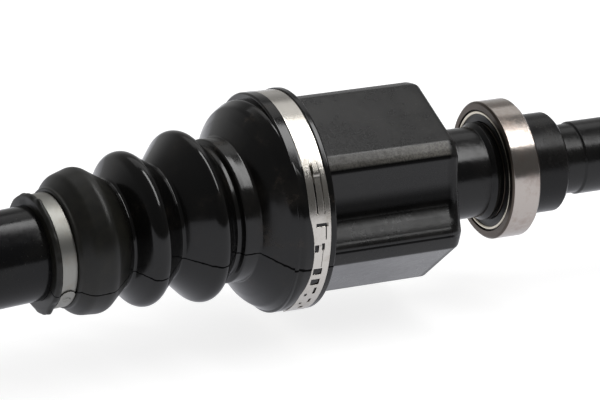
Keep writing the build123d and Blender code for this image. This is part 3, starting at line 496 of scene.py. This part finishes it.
def small_band(name, axes, station, width, inner):
    """Band whose end laps over itself from below: a rounded tongue at the lower front, with a
    pressed button on it."""
    outer = inner + HOOP
    low, high, button_height = -128.0, -28.0, -41.0
    height, across, mid_height, mid_across = strip_grid(low, high, width, outer, 0.2)
    keep = mid_height < high - 5.5 * np.abs(2 * mid_across - 1) ** 2.5
    lift = 0.05 + 0.14 * ramp((height - low) / 10)
    points = ring_point(
        axes, station + (across - 0.5) * width, outer + lift, front_angle(axes, height))
    rings = np.array([0.02, 0.5, 0.85, 1.1, 1.4, 1.65, 1.9])
    rise = np.array([0.55, 0.56, 0.62, 1.05, 1.05, 0.75, 0.45]) + 0.15
    t, ring = np.meshgrid(np.arange(32) / 32 * math.tau, rings, indexing="ij")
    turn = front_angle(axes, button_height) + ring * np.sin(t) / outer
    button_points = ring_point(axes, station + ring * np.cos(t), outer + rise, turn)
    return [band_hoop(name, axes, station, width, inner), outer_layer(name, points, keep, 0.45),
            skin(name + "_button", button_points, True, False, sharp=0)]


def bearing_shields():
    """On each side of the bearing a rubber seal with a bead and a lip, and a polished rim turned
    over its edge. Each is a closed section of (distance from the bearing's middle, radius) points
    carried round the axis. Returned with the material and the node of each."""
    seal_face = softened([
        (5.4, 27.3), (6.0, 27.3), (6.15, 26.9), (5.75, 26.6), (5.75, 26.1), (6.0, 25.2),
        (5.85, 24.2), (6.1, 23.2), (6.3, 22.5), (6.25, 21.95), (5.9, 21.75)], 0.15, 0.05, 0.2)
    seal_back = even_steps([(5.4, 21.75), (5.4, 27.2)], 1.5)
    rim_face = softened([
        (5.9, 26.8), (6.5, 26.75), (6.8, 26.4), (6.8, 25.9), (6.45, 25.4), (5.9, 25.35)],
        0.1, 0.05, 0.15)
    rim_back = even_steps([(5.9, 25.4), (5.9, 26.75)], 0.4)[1:-1]
    pieces = []
    for side, sign in (("left", -1), ("right", 1)):
        for prefix, face, back, material in (
                ("bearing_shield_", seal_face, seal_back, "seal_rubber"),
                ("bearing_shield_rim_", rim_face, rim_back, "shield_rim")):
            piece = turned(prefix + side, HOUSING_FRAME, face * (sign, 1), back * (sign, 1), 180)
            pieces.append((piece, material, "bearing_seal_" + side))
    return pieces


def spring_piece():
    """Round wire carried along a helix that closes up at both ends. The wire's own circle lies in
    the plane of the axis and the radius, and shrinks to a rounded tip at each end."""
    radius, wire, turns, tip = 6.6, 1.0, 6, 0.006
    low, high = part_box("thrust_spring")
    start, end = low.x / MM + wire, high.x / MM - wire
    t = np.linspace(0, 1, turns * 36 + 1)
    advance = ramp(t) * 0.25 + t * 0.75
    turn = t * turns * math.tau
    out = np.stack([np.zeros_like(t), np.cos(turn), np.sin(turn)], -1)
    centre = np.stack([
        start + (end - start) * advance, radius * np.cos(turn), radius * np.sin(turn)], -1)
    around = np.linspace(0, math.tau, 12, endpoint=False)[None, :, None]
    into_tip = ((np.abs(t - 0.5) - 0.5 + tip) / tip).clip(0, 1)
    thickness = wire * np.sqrt(np.clip(1 - into_tip ** 2, 0.0004, 1))
    circle = np.cos(around) * out[:, None] + np.sin(around) * np.array([1.0, 0, 0])
    spring = skin("thrust_coil", centre[:, None] + thickness[:, None, None] * circle, False, True)
    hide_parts("thrust_spring")
    return spring


# Materials

class Value:
    """A socket that adds Math nodes when it is used in arithmetic."""

    def __init__(self, nodes, socket):
        self.nodes, self.socket = nodes, socket

    def math(self, operation, other=None, reverse=False):
        first, second = (other, self) if reverse else (self, other)
        inputs = [x for x in (first, second) if x is not None]
        return self.nodes.add("ShaderNodeMath", {"operation": operation}, *inputs)

    def absolute(self):
        return self.math("ABSOLUTE")

    def __add__(self, other):
        return self.math("ADD", other)

    def __sub__(self, other):
        return self.math("SUBTRACT", other)

    def __rsub__(self, other):
        return self.math("SUBTRACT", other, reverse=True)

    def __mul__(self, other):
        return self.math("MULTIPLY", other)

    def __truediv__(self, other):
        return self.math("DIVIDE", other)

    __radd__ = __add__
    __rmul__ = __mul__


class Nodes:
    """The node tree of a new material, or a given tree. add() makes any node from its type, its
    settings and its inputs, in order or by name."""

    def __init__(self, name=None, tree=None):
        if tree is None:
            self.material = bpy.data.materials.new(name)
            self.material.use_nodes = True
            tree = self.material.node_tree
        self.tree = tree
        self.tree.nodes.clear()
        coordinates = self.tree.nodes.new("ShaderNodeTexCoord").outputs
        self.place, self.surface, self.direction = (
            Value(self, coordinates[key]) for key in ("Object", "UV", "Generated"))

    def put(self, node, key, value):
        if isinstance(value, Value):
            self.tree.links.new(value.socket, node.inputs[key])
        else:
            node.inputs[key].default_value = value

    def add(self, kind, settings, *inputs, output=0, **named):
        node = self.tree.nodes.new(kind)
        for key, value in settings.items():
            setattr(node, key, value)
        for key, value in enumerate(inputs):
            self.put(node, key, value)
        for key, value in named.items():
            self.put(node, key.replace("_", " "), value)
        return Value(self, node.outputs[output])

    def noise(self, scale, detail=3.0, roughness=0.55, place=None, stretch=None):
        place = place or self.place
        if stretch:
            place = self.add(
                "ShaderNodeVectorMath", {"operation": "MULTIPLY"}, place, stretch)
        return self.add(
            "ShaderNodeTexNoise", {}, Vector=place, Scale=scale, Detail=detail,
            Roughness=roughness)

    def step(self, value, low, high, out_low=0.0, out_high=1.0):
        """Smooth ramp of a value from low to high."""
        return self.add(
            "ShaderNodeMapRange", {"interpolation_type": "SMOOTHSTEP"}, value, low, high, out_low,
            out_high)

    def curve(self, value, points):
        """A smooth curve through about these (position, height) points, by a colour ramp."""
        node = self.tree.nodes.new("ShaderNodeValToRGB")
        node.color_ramp.interpolation = "B_SPLINE"
        elements = node.color_ramp.elements
        while len(elements) < len(points):
            elements.new(1.0)
        for element, (position, height) in zip(elements, points):
            element.position, element.color = position, (height, height, height, 1)
        self.put(node, 0, value)
        return Value(self, node.outputs[0])

    def blend(self, share, low, high):
        """Mix of two colours."""
        mix = self.tree.nodes.new("ShaderNodeMix")
        mix.data_type = "RGBA"
        self.put(mix, 0, share)
        self.put(mix, 6, low if isinstance(low, Value) else (*low, 1))
        self.put(mix, 7, high if isinstance(high, Value) else (*high, 1))
        return Value(self, mix.outputs[2])

    def mix(self, share, low, high):
        """Mix of two shaders."""
        return self.add("ShaderNodeMixShader", {}, share, low, high)

    def parts(self, vector):
        """The X, Y and Z of a vector."""
        node = self.tree.nodes.new("ShaderNodeSeparateXYZ")
        self.put(node, 0, vector)
        return [Value(self, socket) for socket in node.outputs]

    def rays(self, *kinds):
        """For each kind of ray, 1 if the point is reached by one and 0 otherwise."""
        node = self.tree.nodes.new("ShaderNodeLightPath")
        return [Value(self, node.outputs[f"Is {kind} Ray"]) for kind in kinds]

    def bump(self, height, strength, distance, normal=None):
        named = {"Strength": strength, "Distance": distance, "Height": height}
        if normal:
            named["Normal"] = normal
        return self.add("ShaderNodeBump", {}, **named)

    def edge(self, radius):
        """How far the normal of rounded edges leaves the true one, near 0 on a face and more at an
        edge, and the rounded normal itself."""
        rounded = self.add("ShaderNodeBevel", {"samples": 4}, radius)
        true = Value(self, self.tree.nodes.new("ShaderNodeNewGeometry").outputs["Normal"])
        same = self.add(
            "ShaderNodeVectorMath", {"operation": "DOT_PRODUCT"}, rounded, true, output="Value")
        return 1.0 - same, rounded

    def close(self, shader, kind="ShaderNodeOutputMaterial"):
        """Links the last shader to the tree's output."""
        output = self.tree.nodes.new(kind)
        self.tree.links.new(shader.socket, output.inputs[0])

    def finish(self, colour, roughness, normal=None, metallic=0.0, gap=None, coat=0.0, **fixed):
        """The piece's material from its shader. gap is the share of a dull black mixed over it,
        painted shade as down in a crack or groove."""
        shader = self.tree.nodes.new("ShaderNodeBsdfPrincipled")
        self.put(shader, "Base Color", colour)
        self.put(shader, "Roughness", roughness)
        self.put(shader, "Metallic", metallic)
        self.put(shader, "Coat Weight", coat)
        if normal:
            self.put(shader, "Normal", normal)
        for key, value in fixed.items():
            shader.inputs[key.replace("_", " ")].default_value = value
        surface = Value(self, shader.outputs[0])
        # gap mixes in a dull black diffuse: painted shade.
        if gap:
            dull = self.add("ShaderNodeBsdfDiffuse", {}, (0.0015, 0.0014, 0.0014, 1))
            surface = self.mix(gap, surface, dull)
        self.close(surface)
        return self.material


def boot_rubber(name, seam_turn, seam_lean=0.0, dust=1.0, matte_from=None):
    """Moulded rubber: glossy skin with soft patches of dust and rub marks, a thin jagged parting
    line by the UV, twice in a turn, sunk by the bump and darkened with painted shade, and a
    duller, olive last convolution beyond matte_from."""
    n = Nodes(name)
    u, v, _ = n.parts(n.surface)
    patches = n.noise(38.0, 4.0, 0.6)
    grain = n.noise(1400.0, 2.0, 0.5)
    flow = n.noise(160.0, 3.0, 0.6)
    jagged = (n.noise(26.0, 3.0, 0.7) - 0.5) * 0.008 + (n.noise(330.0, 2.0, 0.6) - 0.5) * 0.006
    place = u + jagged - seam_turn + (v + 0.59) * seam_lean
    away = ((place * 2.0 + 8.5).math("FRACT") - 0.5).absolute()
    line = 1.0 - n.step(away, 0.0026, 0.0052)
    scuff = n.step(n.noise(75.0, 5.0, 0.75), 0.56, 0.74) * n.step(patches, 0.40, 0.66)
    dusty = n.step(patches, 0.46, 0.74)
    colour = n.blend(dusty * (0.40 * dust), (0.0042, 0.0041, 0.0040), (0.018, 0.0155, 0.0125))
    colour = n.blend(scuff * (0.38 * dust), colour, (0.052, 0.037, 0.026))
    roughness = 0.135 + dusty * (0.10 * dust) + (flow - 0.5) * 0.06 + scuff * 0.14
    if matte_from is not None:
        edge = v + (patches - 0.5) * 0.05
        dull = 1.0 - n.step(edge, matte_from - 0.03, matte_from + 0.03)
        olive = n.blend(
            n.step(flow, 0.35, 0.7), (0.0085, 0.0083, 0.0062), (0.014, 0.0130, 0.0095))
        colour = n.blend(dull, colour, olive)
        roughness = roughness + dull * 0.24
    height = grain * 0.05 + flow * 0.26 - line * 1.2 + scuff * 0.15
    normal = n.bump(height, 0.30, 0.00018)
    # The parting line's groove gets painted shade: a dull black mixed in by gap.
    return n.finish(colour, roughness, normal, gap=line * 0.92, Specular_IOR_Level=0.42)


def black_coat(n, base, warm, rough):
    """Satin black paint: dust in patches, light specks, and edges rubbed towards the metal.
    Returns its colour, its roughness, the height of the ground under it and the rounded normal."""
    worn, rounded = n.edge(0.0006)
    ground = n.noise(420.0, 4.0, 0.6)
    wide = n.noise(46.0, 4.0, 0.6)
    specks = n.step(n.noise(900.0, 2.0, 0.5), 0.66, 0.74)
    dusty = n.step(wide, 0.38, 0.70)
    rub = n.step(worn * (0.6 + n.noise(260.0, 4.0, 0.7)), 0.05, 0.24)
    colour = n.blend(dusty, base, warm)
    colour = n.blend(rub * 0.55, colour, (0.075, 0.070, 0.064))
    colour = n.blend(specks * 0.22, colour, (0.10, 0.095, 0.088))
    roughness = rough + (ground - 0.5) * 0.14 + dusty * 0.08 - rub * 0.05
    return colour, roughness, ground + specks * 0.15 + wide * 0.6, rounded


def black_paint(name, base, warm, rough, cast):
    """The black paint on a plain part. cast is the strength of the uneven ground."""
    n = Nodes(name)
    colour, roughness, height, rounded = black_coat(n, base, warm, rough)
    normal = n.bump(height * cast, 0.5, 0.00030, rounded)
    return n.finish(colour, roughness, normal, Specular_IOR_Level=0.28)


def housing_paint():
    """The black paint on the forged housing and its turned stub, which ends in bare steel.
    On the forged part it goes by the gap, the angle in degrees from the middle of the nearest dip:
    a smooth height hollows the dips, their edges and their middle get painted shade, a dull black
    mixed in, and the ridge above each dip gets a painted highlight, a lighter strip speckled like
    scuffs. The flat under the front dip is glossier."""
    n = Nodes("forged_housing_paint")
    colour, roughness, height, rounded = black_coat(
        n, (0.0065, 0.0063, 0.0063), (0.013, 0.0120, 0.0108), 0.27)
    x, y, z = n.parts(n.place)
    turned_part = n.step(x, -0.037, -0.034)
    forged = n.step(x, -0.042, -0.040, 1.0, 0.0)
    roughness = roughness - turned_part * 0.08
    colour = n.blend(turned_part * 0.6, colour, (0.0035, 0.0034, 0.0036))

    turn = z.math("ARCTAN2", y) * (180 / math.pi)
    gap = ((turn - 173.0 + 780.0) / 120.0).math("FRACT") * 120.0 - 60.0
    dip_heights = (
        (-60, 0), (-28, 0), (-24.5, -0.2), (-22, -1.2), (-16, -2.2), (-9, -3.4), (-3, -4.1),
        (2, -4.3), (6, -3.6), (12, -1.4), (19, 1.3), (23, 1.9), (25, 0.4), (60, 0))
    share = n.curve(
        (gap + 60.0) / 120.0,
        [((degree + 60) / 120, (millimetres + 5) / 8) for degree, millimetres in dip_heights])
    reach = n.step(x, -0.043, -0.0375, 1.0, 0.0)
    hollowed = n.bump((share - 0.625) * reach * 8.0, 1.0, 0.001, rounded)
    # Painted shade: a dull black is mixed in along both edges of each dip and down its middle.
    upper_edge = 1.0 - n.step((gap + 23.4).absolute(), 0.5, 1.7)
    lower_edge = 1.0 - n.step((gap - 24.2).absolute(), 0.4, 1.4)
    middle = n.step((gap - 1.5).absolute(), 3.5, 12.0, 0.72, 0.0)
    painted_dip_shade = ((upper_edge + lower_edge) * 0.85).math("MAXIMUM", middle) * forged
    # Painted highlight: the ridge above each dip is painted a lighter grey, speckled like scuffs
    # and stronger towards +X.
    ridge = n.step(gap, -34.0, -32.0) * n.step(gap, -26.0, -24.0, 1.0, 0.0) * forged
    speckled_ridge_highlight = n.step(n.noise(1300.0, 3.0, 0.6), 0.40, 0.60, 0.50, 1.0)
    speckled_ridge_highlight = speckled_ridge_highlight * n.step(x, -0.085, -0.045, 0.62, 1.0)
    colour = n.blend(ridge * speckled_ridge_highlight * 0.85, colour, (0.190, 0.180, 0.160))
    gloss = n.step((turn + 127.0).absolute(), 24.5, 27.5, 0.75, 0.0) * forged

    normal = n.bump(height * 0.42, 0.5, 0.00030, hollowed)
    bare_edge = x + (n.noise(200.0, 3.0, 0.6) - 0.5) * 0.0014
    bare = n.step(bare_edge, 0.1288, 0.1296)
    turning = n.noise(1.0, 3.0, 0.7, stretch=(2600.0, 20.0, 20.0))
    clouds = n.step(n.noise(90.0, 4.0, 0.6), 0.35, 0.7)
    colour = n.blend(bare, colour, n.blend(clouds, (0.42, 0.41, 0.40), (0.30, 0.27, 0.235)))
    roughness = roughness * (1.0 - bare) + (0.26 + turning * 0.16) * bare
    return n.finish(
        colour, roughness, normal, metallic=bare, gap=painted_dip_shade, coat=gloss,
        Specular_IOR_Level=0.42, Coat_Roughness=0.22)


def turned_steel(name, base, tarnish, rough, rings=(2400.0, 60.0, 60.0), patina=0.4, pits=0.25,
                 side_from=None):
    """Ground or turned steel: fine rings across the axis, warm tarnish in soft patches, small dark
    pits. Faces further than side_from along X from the middle get painted shade: a dark, duller
    colour, as the shaded sides of a ring have."""
    n = Nodes(name)
    _, rounded = n.edge(0.00035)
    ring = n.noise(1.0, 4.0, 0.75, stretch=rings)
    cloud = n.noise(75.0, 5.0, 0.65)
    fine = n.noise(700.0, 3.0, 0.6)
    stain = n.step(cloud + (fine - 0.5) * 0.25, 0.42, 0.72)
    pit = n.step(n.noise(330.0, 3.0, 0.5), 0.70, 0.76) * n.step(cloud, 0.48, 0.62)
    colour = n.blend(stain * patina, base, tarnish)
    colour = n.blend(pit * pits, colour, (0.05, 0.04, 0.032))
    roughness = rough + (ring - 0.5) * 0.14 + stain * 0.10 + pit * 0.2
    # Painted shade: the sides of the ring are given a dark colour, with more roughness.
    if side_from is not None:
        from_middle = n.parts(n.place)[0].absolute()
        side = n.step(from_middle, side_from - 0.0001, side_from + 0.0001)
        dark = n.blend(cloud, (0.075, 0.062, 0.052), (0.15, 0.125, 0.105))
        colour = n.blend(side, colour, dark)
        roughness = roughness + side * 0.16
    normal = n.bump(ring * 0.6 + fine * 0.25 - pit * 1.5, 0.20, 0.00008, rounded)
    return n.finish(colour, roughness, normal, metallic=1.0 - pit * 0.6)


def rolled_band(name, base, shade, rough, patina):
    """Rolled strip: long fine streaks round the band by its UV, light handling marks and a few
    stains."""
    n = Nodes(name)
    streak = n.noise(1.0, 4.0, 0.7, place=n.surface, stretch=(14.0, 150.0, 1.0))
    cloud = n.noise(120.0, 4.0, 0.65)
    stain = n.step(cloud, 0.48, 0.74)
    nick = n.step(n.noise(620.0, 2.0, 0.5), 0.68, 0.76)
    colour = n.blend(streak * 0.35, base, shade)
    colour = n.blend(stain * patina, colour, (0.34, 0.29, 0.22))
    roughness = rough + (streak - 0.5) * 0.14 + stain * 0.08 + nick * 0.1
    normal = n.bump(streak * 0.5 + nick * -0.6 + cloud * 0.4, 0.25, 0.00008)
    return n.finish(colour, roughness, normal, metallic=1.0)


def moulded(name, base, rough, grain_scale=900.0):
    """Plain moulded rubber or nylon with a fine skin and soft variation."""
    n = Nodes(name)
    soft = n.noise(60.0, 3.0, 0.6)
    grain = n.noise(grain_scale, 3.0, 0.55)
    lighter = tuple(c * 1.35 + 0.002 for c in base)
    colour = n.blend(n.step(soft, 0.35, 0.7), base, lighter)
    normal = n.bump(grain * 0.4 + soft * 0.4, 0.3, 0.00012)
    return n.finish(colour, rough + (grain - 0.5) * 0.12, normal)


MATERIALS = {
    "housing_paint": housing_paint(),
    "shaft_paint": black_paint(
        "shaft_tube_paint", (0.0055, 0.0055, 0.0062), (0.010, 0.0094, 0.0088), 0.14, 0.10),
    "collar_black": black_paint(
        "collar_phosphate", (0.0055, 0.0055, 0.0062), (0.012, 0.011, 0.010), 0.22, 0.15),
    "bearing_steel": turned_steel(
        "ground_bearing_steel", (0.50, 0.455, 0.42), (0.37, 0.30, 0.26), 0.16,
        patina=0.85, pits=0.15, side_from=0.0062),
    "ball_steel": turned_steel(
        "polished_ball_steel", (0.66, 0.66, 0.67), (0.52, 0.50, 0.47), 0.12,
        (300.0, 300.0, 300.0), 0.3),
    "machined_steel": turned_steel(
        "machined_joint_steel", (0.47, 0.465, 0.46), (0.33, 0.30, 0.26), 0.30,
        (1500.0, 70.0, 70.0), 0.5),
    "spring_steel": turned_steel(
        "drawn_spring_wire", (0.30, 0.31, 0.33), (0.22, 0.21, 0.20), 0.32,
        (900.0, 300.0, 300.0), 0.4),
    "cage_steel": turned_steel(
        "pressed_cage_steel", (0.36, 0.35, 0.34), (0.25, 0.23, 0.21), 0.42,
        (600.0, 600.0, 600.0), 0.5),
    "shield_rim": turned_steel(
        "polished_shield_rim", (0.72, 0.67, 0.56), (0.55, 0.49, 0.40), 0.14,
        patina=0.4, pits=0.1),
    "cup_plastic": moulded("thrust_cup_nylon", (0.62, 0.58, 0.47), 0.45),
    "seal_rubber": moulded("bearing_seal_rubber", (0.0075, 0.0070, 0.0068), 0.40, 1200.0),
    "clamp_stainless": rolled_band(
        "stainless_strip", (0.69, 0.66, 0.61), (0.54, 0.51, 0.465), 0.21, 0.30),
    "clamp_zinc": rolled_band(
        "zinc_strip", (0.35, 0.345, 0.32), (0.26, 0.255, 0.235), 0.42, 0.35),
}


def paint(obj, material):
    obj.data.materials.clear()
    obj.data.materials.append(material)


# The solids that stay visible get their materials, and the soft and thin ones their pieces.

for entry in frame["record"]["subparts"]:
    for slot in frame["nodes"][entry["node"]].material_slots:
        slot.material = MATERIALS.get(entry["material_slot"], slot.material)

mouth_rubber = boot_rubber("inner_boot_mouth_rubber", 0.556, dust=1.5)
bellows_rubber = boot_rubber("inner_boot_bellows_rubber", 0.551, 0.05, matte_from=-0.985)
outer_rubber = boot_rubber("outer_boot_rubber", 0.10, dust=0.7)
for piece in inner_boot_pieces():
    paint(piece, bellows_rubber if piece.name == "inner_boot_bellows" else mouth_rubber)
for piece in outer_boot_pieces():
    paint(piece, outer_rubber)

# Function, name, frame, station, width, inner radius, replaced node, body and slot of each clamp
bands = (
    (large_band, "inner_large_band", HOUSING_FRAME, (CLAMP_LEFT + CLAMP_RIGHT) / 2, 9.6,
     SEAT_RADIUS + 0.3, "inner_boot_large_clamp", "inboard", "clamp_stainless"),
    (small_band, "inner_small_band", SHAFT_FRAME, SMALL_CLAMP, 6.8,
     SMALL_SEAT + 0.3, "inner_boot_small_clamp", "shaft", "clamp_zinc"),
    (large_band, "outer_large_band", WHEEL_FRAME, -5.5, 8.6,
     45.3, "outer_boot_large_clamp", "wheel_stub", "clamp_stainless"),
    (small_band, "outer_small_band", WHEEL_FRAME, -95.0, 6.8,
     SMALL_SEAT + 0.3, "outer_boot_small_clamp", "shaft", "clamp_zinc"),
)
for maker, name, axes, station, width, inner, node_name, body, slot in bands:
    for piece in maker(name, axes, station, width, inner):
        paint(piece, MATERIALS[slot])
        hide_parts(node_name)
        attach(piece, body)

for piece, material, node_name in bearing_shields():
    paint(piece, MATERIALS[material])
    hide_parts(node_name)
    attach(piece, "bearing_mount")

spring = spring_piece()
paint(spring, MATERIALS["spring_steel"])
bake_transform(spring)


# Studio: a pale floor, a world that only the camera sees as white, and two soft boxes overhead

def floor_piece():
    """A flat disc of quads: radius grows with the row, angle with the column. It glows to the
    camera and, a little cooler and less, to glossy and transmission rays."""
    level = cad_box[0][2] / MM - 0.5
    radii = np.r_[1.0, 400.0, 1200.0, 4000.0]
    angle, radius = np.meshgrid(np.arange(96) / 96 * math.tau, radii, indexing="ij")
    x, y = -240 + radius * np.cos(angle), radius * np.sin(angle)
    points = np.stack([x, y, np.full_like(radius, level)], -1)
    floor = skin("studio_floor", points, True, False, sharp=0)
    n = Nodes("pale_floor")
    camera, glossy, transmission = n.rays("Camera", "Glossy", "Transmission")
    diffuse = n.add("ShaderNodeBsdfDiffuse", {}, (0.46, 0.46, 0.46, 1))
    bright = n.add("ShaderNodeEmission", {}, (1, 1, 1, 1), 0.78)
    cool = n.add("ShaderNodeEmission", {}, (0.92, 0.93, 1.0, 1), 0.54)
    glowing = n.add("ShaderNodeAddShader", {}, diffuse, n.mix(camera, cool, bright))
    seen = camera.math("MAXIMUM", glossy).math("MAXIMUM", transmission)
    n.close(n.mix(seen, diffuse, glowing))
    paint(floor, n.material)


def studio_world():
    """White to the camera. To glossy rays a dark room with a white sweep low behind the object,
    and to diffuse rays a plain grey."""
    world = bpy.data.worlds.new("studio")
    bpy.context.scene.world = world
    world.use_nodes = True
    n = Nodes(tree=world.node_tree)
    _, y, z = n.parts(n.direction)
    camera, diffuse, glossy, transmission = n.rays("Camera", "Diffuse", "Glossy", "Transmission")
    sweep = n.step(y, 0.30, 0.85) * (1.0 - n.step(z, 0.10, 0.62))
    brightness = n.step(y, -1.0, 1.0, 0.095, 0.20) + diffuse * 0.30
    room = n.add("ShaderNodeBackground", {}, (1, 1, 1, 1), brightness)
    white = n.add("ShaderNodeBackground", {}, (1, 1, 1, 1), 1.0)
    seen = camera.math("MAXIMUM", glossy.math("MAXIMUM", transmission) * sweep * 0.35)
    n.close(n.mix(seen, room, white), "ShaderNodeOutputWorld")


def soft_box(name, centre, aim, size, radiance, across=(1, 0, 0)):
    """A rectangular area light with its long side along across, facing the aim point. Its power is
    pi x area x radiance."""
    data = bpy.data.lights.new(name, "AREA")
    data.shape = "RECTANGLE"
    data.size, data.size_y = size
    data.energy = math.pi * size[0] * size[1] * radiance
    back = (Vector(centre) - Vector(aim)).normalized()
    along = Vector(across) - Vector(across).dot(back) * back
    along.normalize()
    turn = Matrix((along, back.cross(along), back)).transposed().to_4x4()
    placed(name, data).matrix_world = Matrix.Translation(centre) @ turn


def photo_camera():
    """The photograph's view: 3401 pixels of focal length on 600 across, at its place and
    direction."""
    sensor = 36.0
    data = bpy.data.cameras.new("photo_camera")
    data.sensor_width = sensor
    data.lens = 3400.92 * sensor / 600.0
    data.clip_start, data.clip_end = 0.05, 20.0
    right = Vector((0.9135, -0.4067, 0)).normalized()
    forward = Vector((0.3852, 0.8651, -0.3211)).normalized()
    up = right.cross(forward).normalized()
    turn = Matrix((right, up, -forward)).transposed().to_4x4()
    camera = placed("photo_camera", data)
    camera.matrix_world = Matrix.Translation((-0.66814, -1.28546, 0.47542)) @ turn
    bpy.context.scene.camera = camera


floor_piece()
studio_world()
soft_box(
    "overhead_soft_box", (0.33, -0.20, 0.97), (0.33, 0, 0), (1.10, 0.24), 6.4, (-0.35, 0.94, 0))
soft_box("rear_soft_box", (0.30, 0.60, 0.87), (0.30, 0, 0), (1.1, 0.50), 0.55)
photo_camera()
bpy.context.scene.view_settings.view_transform = "Standard"
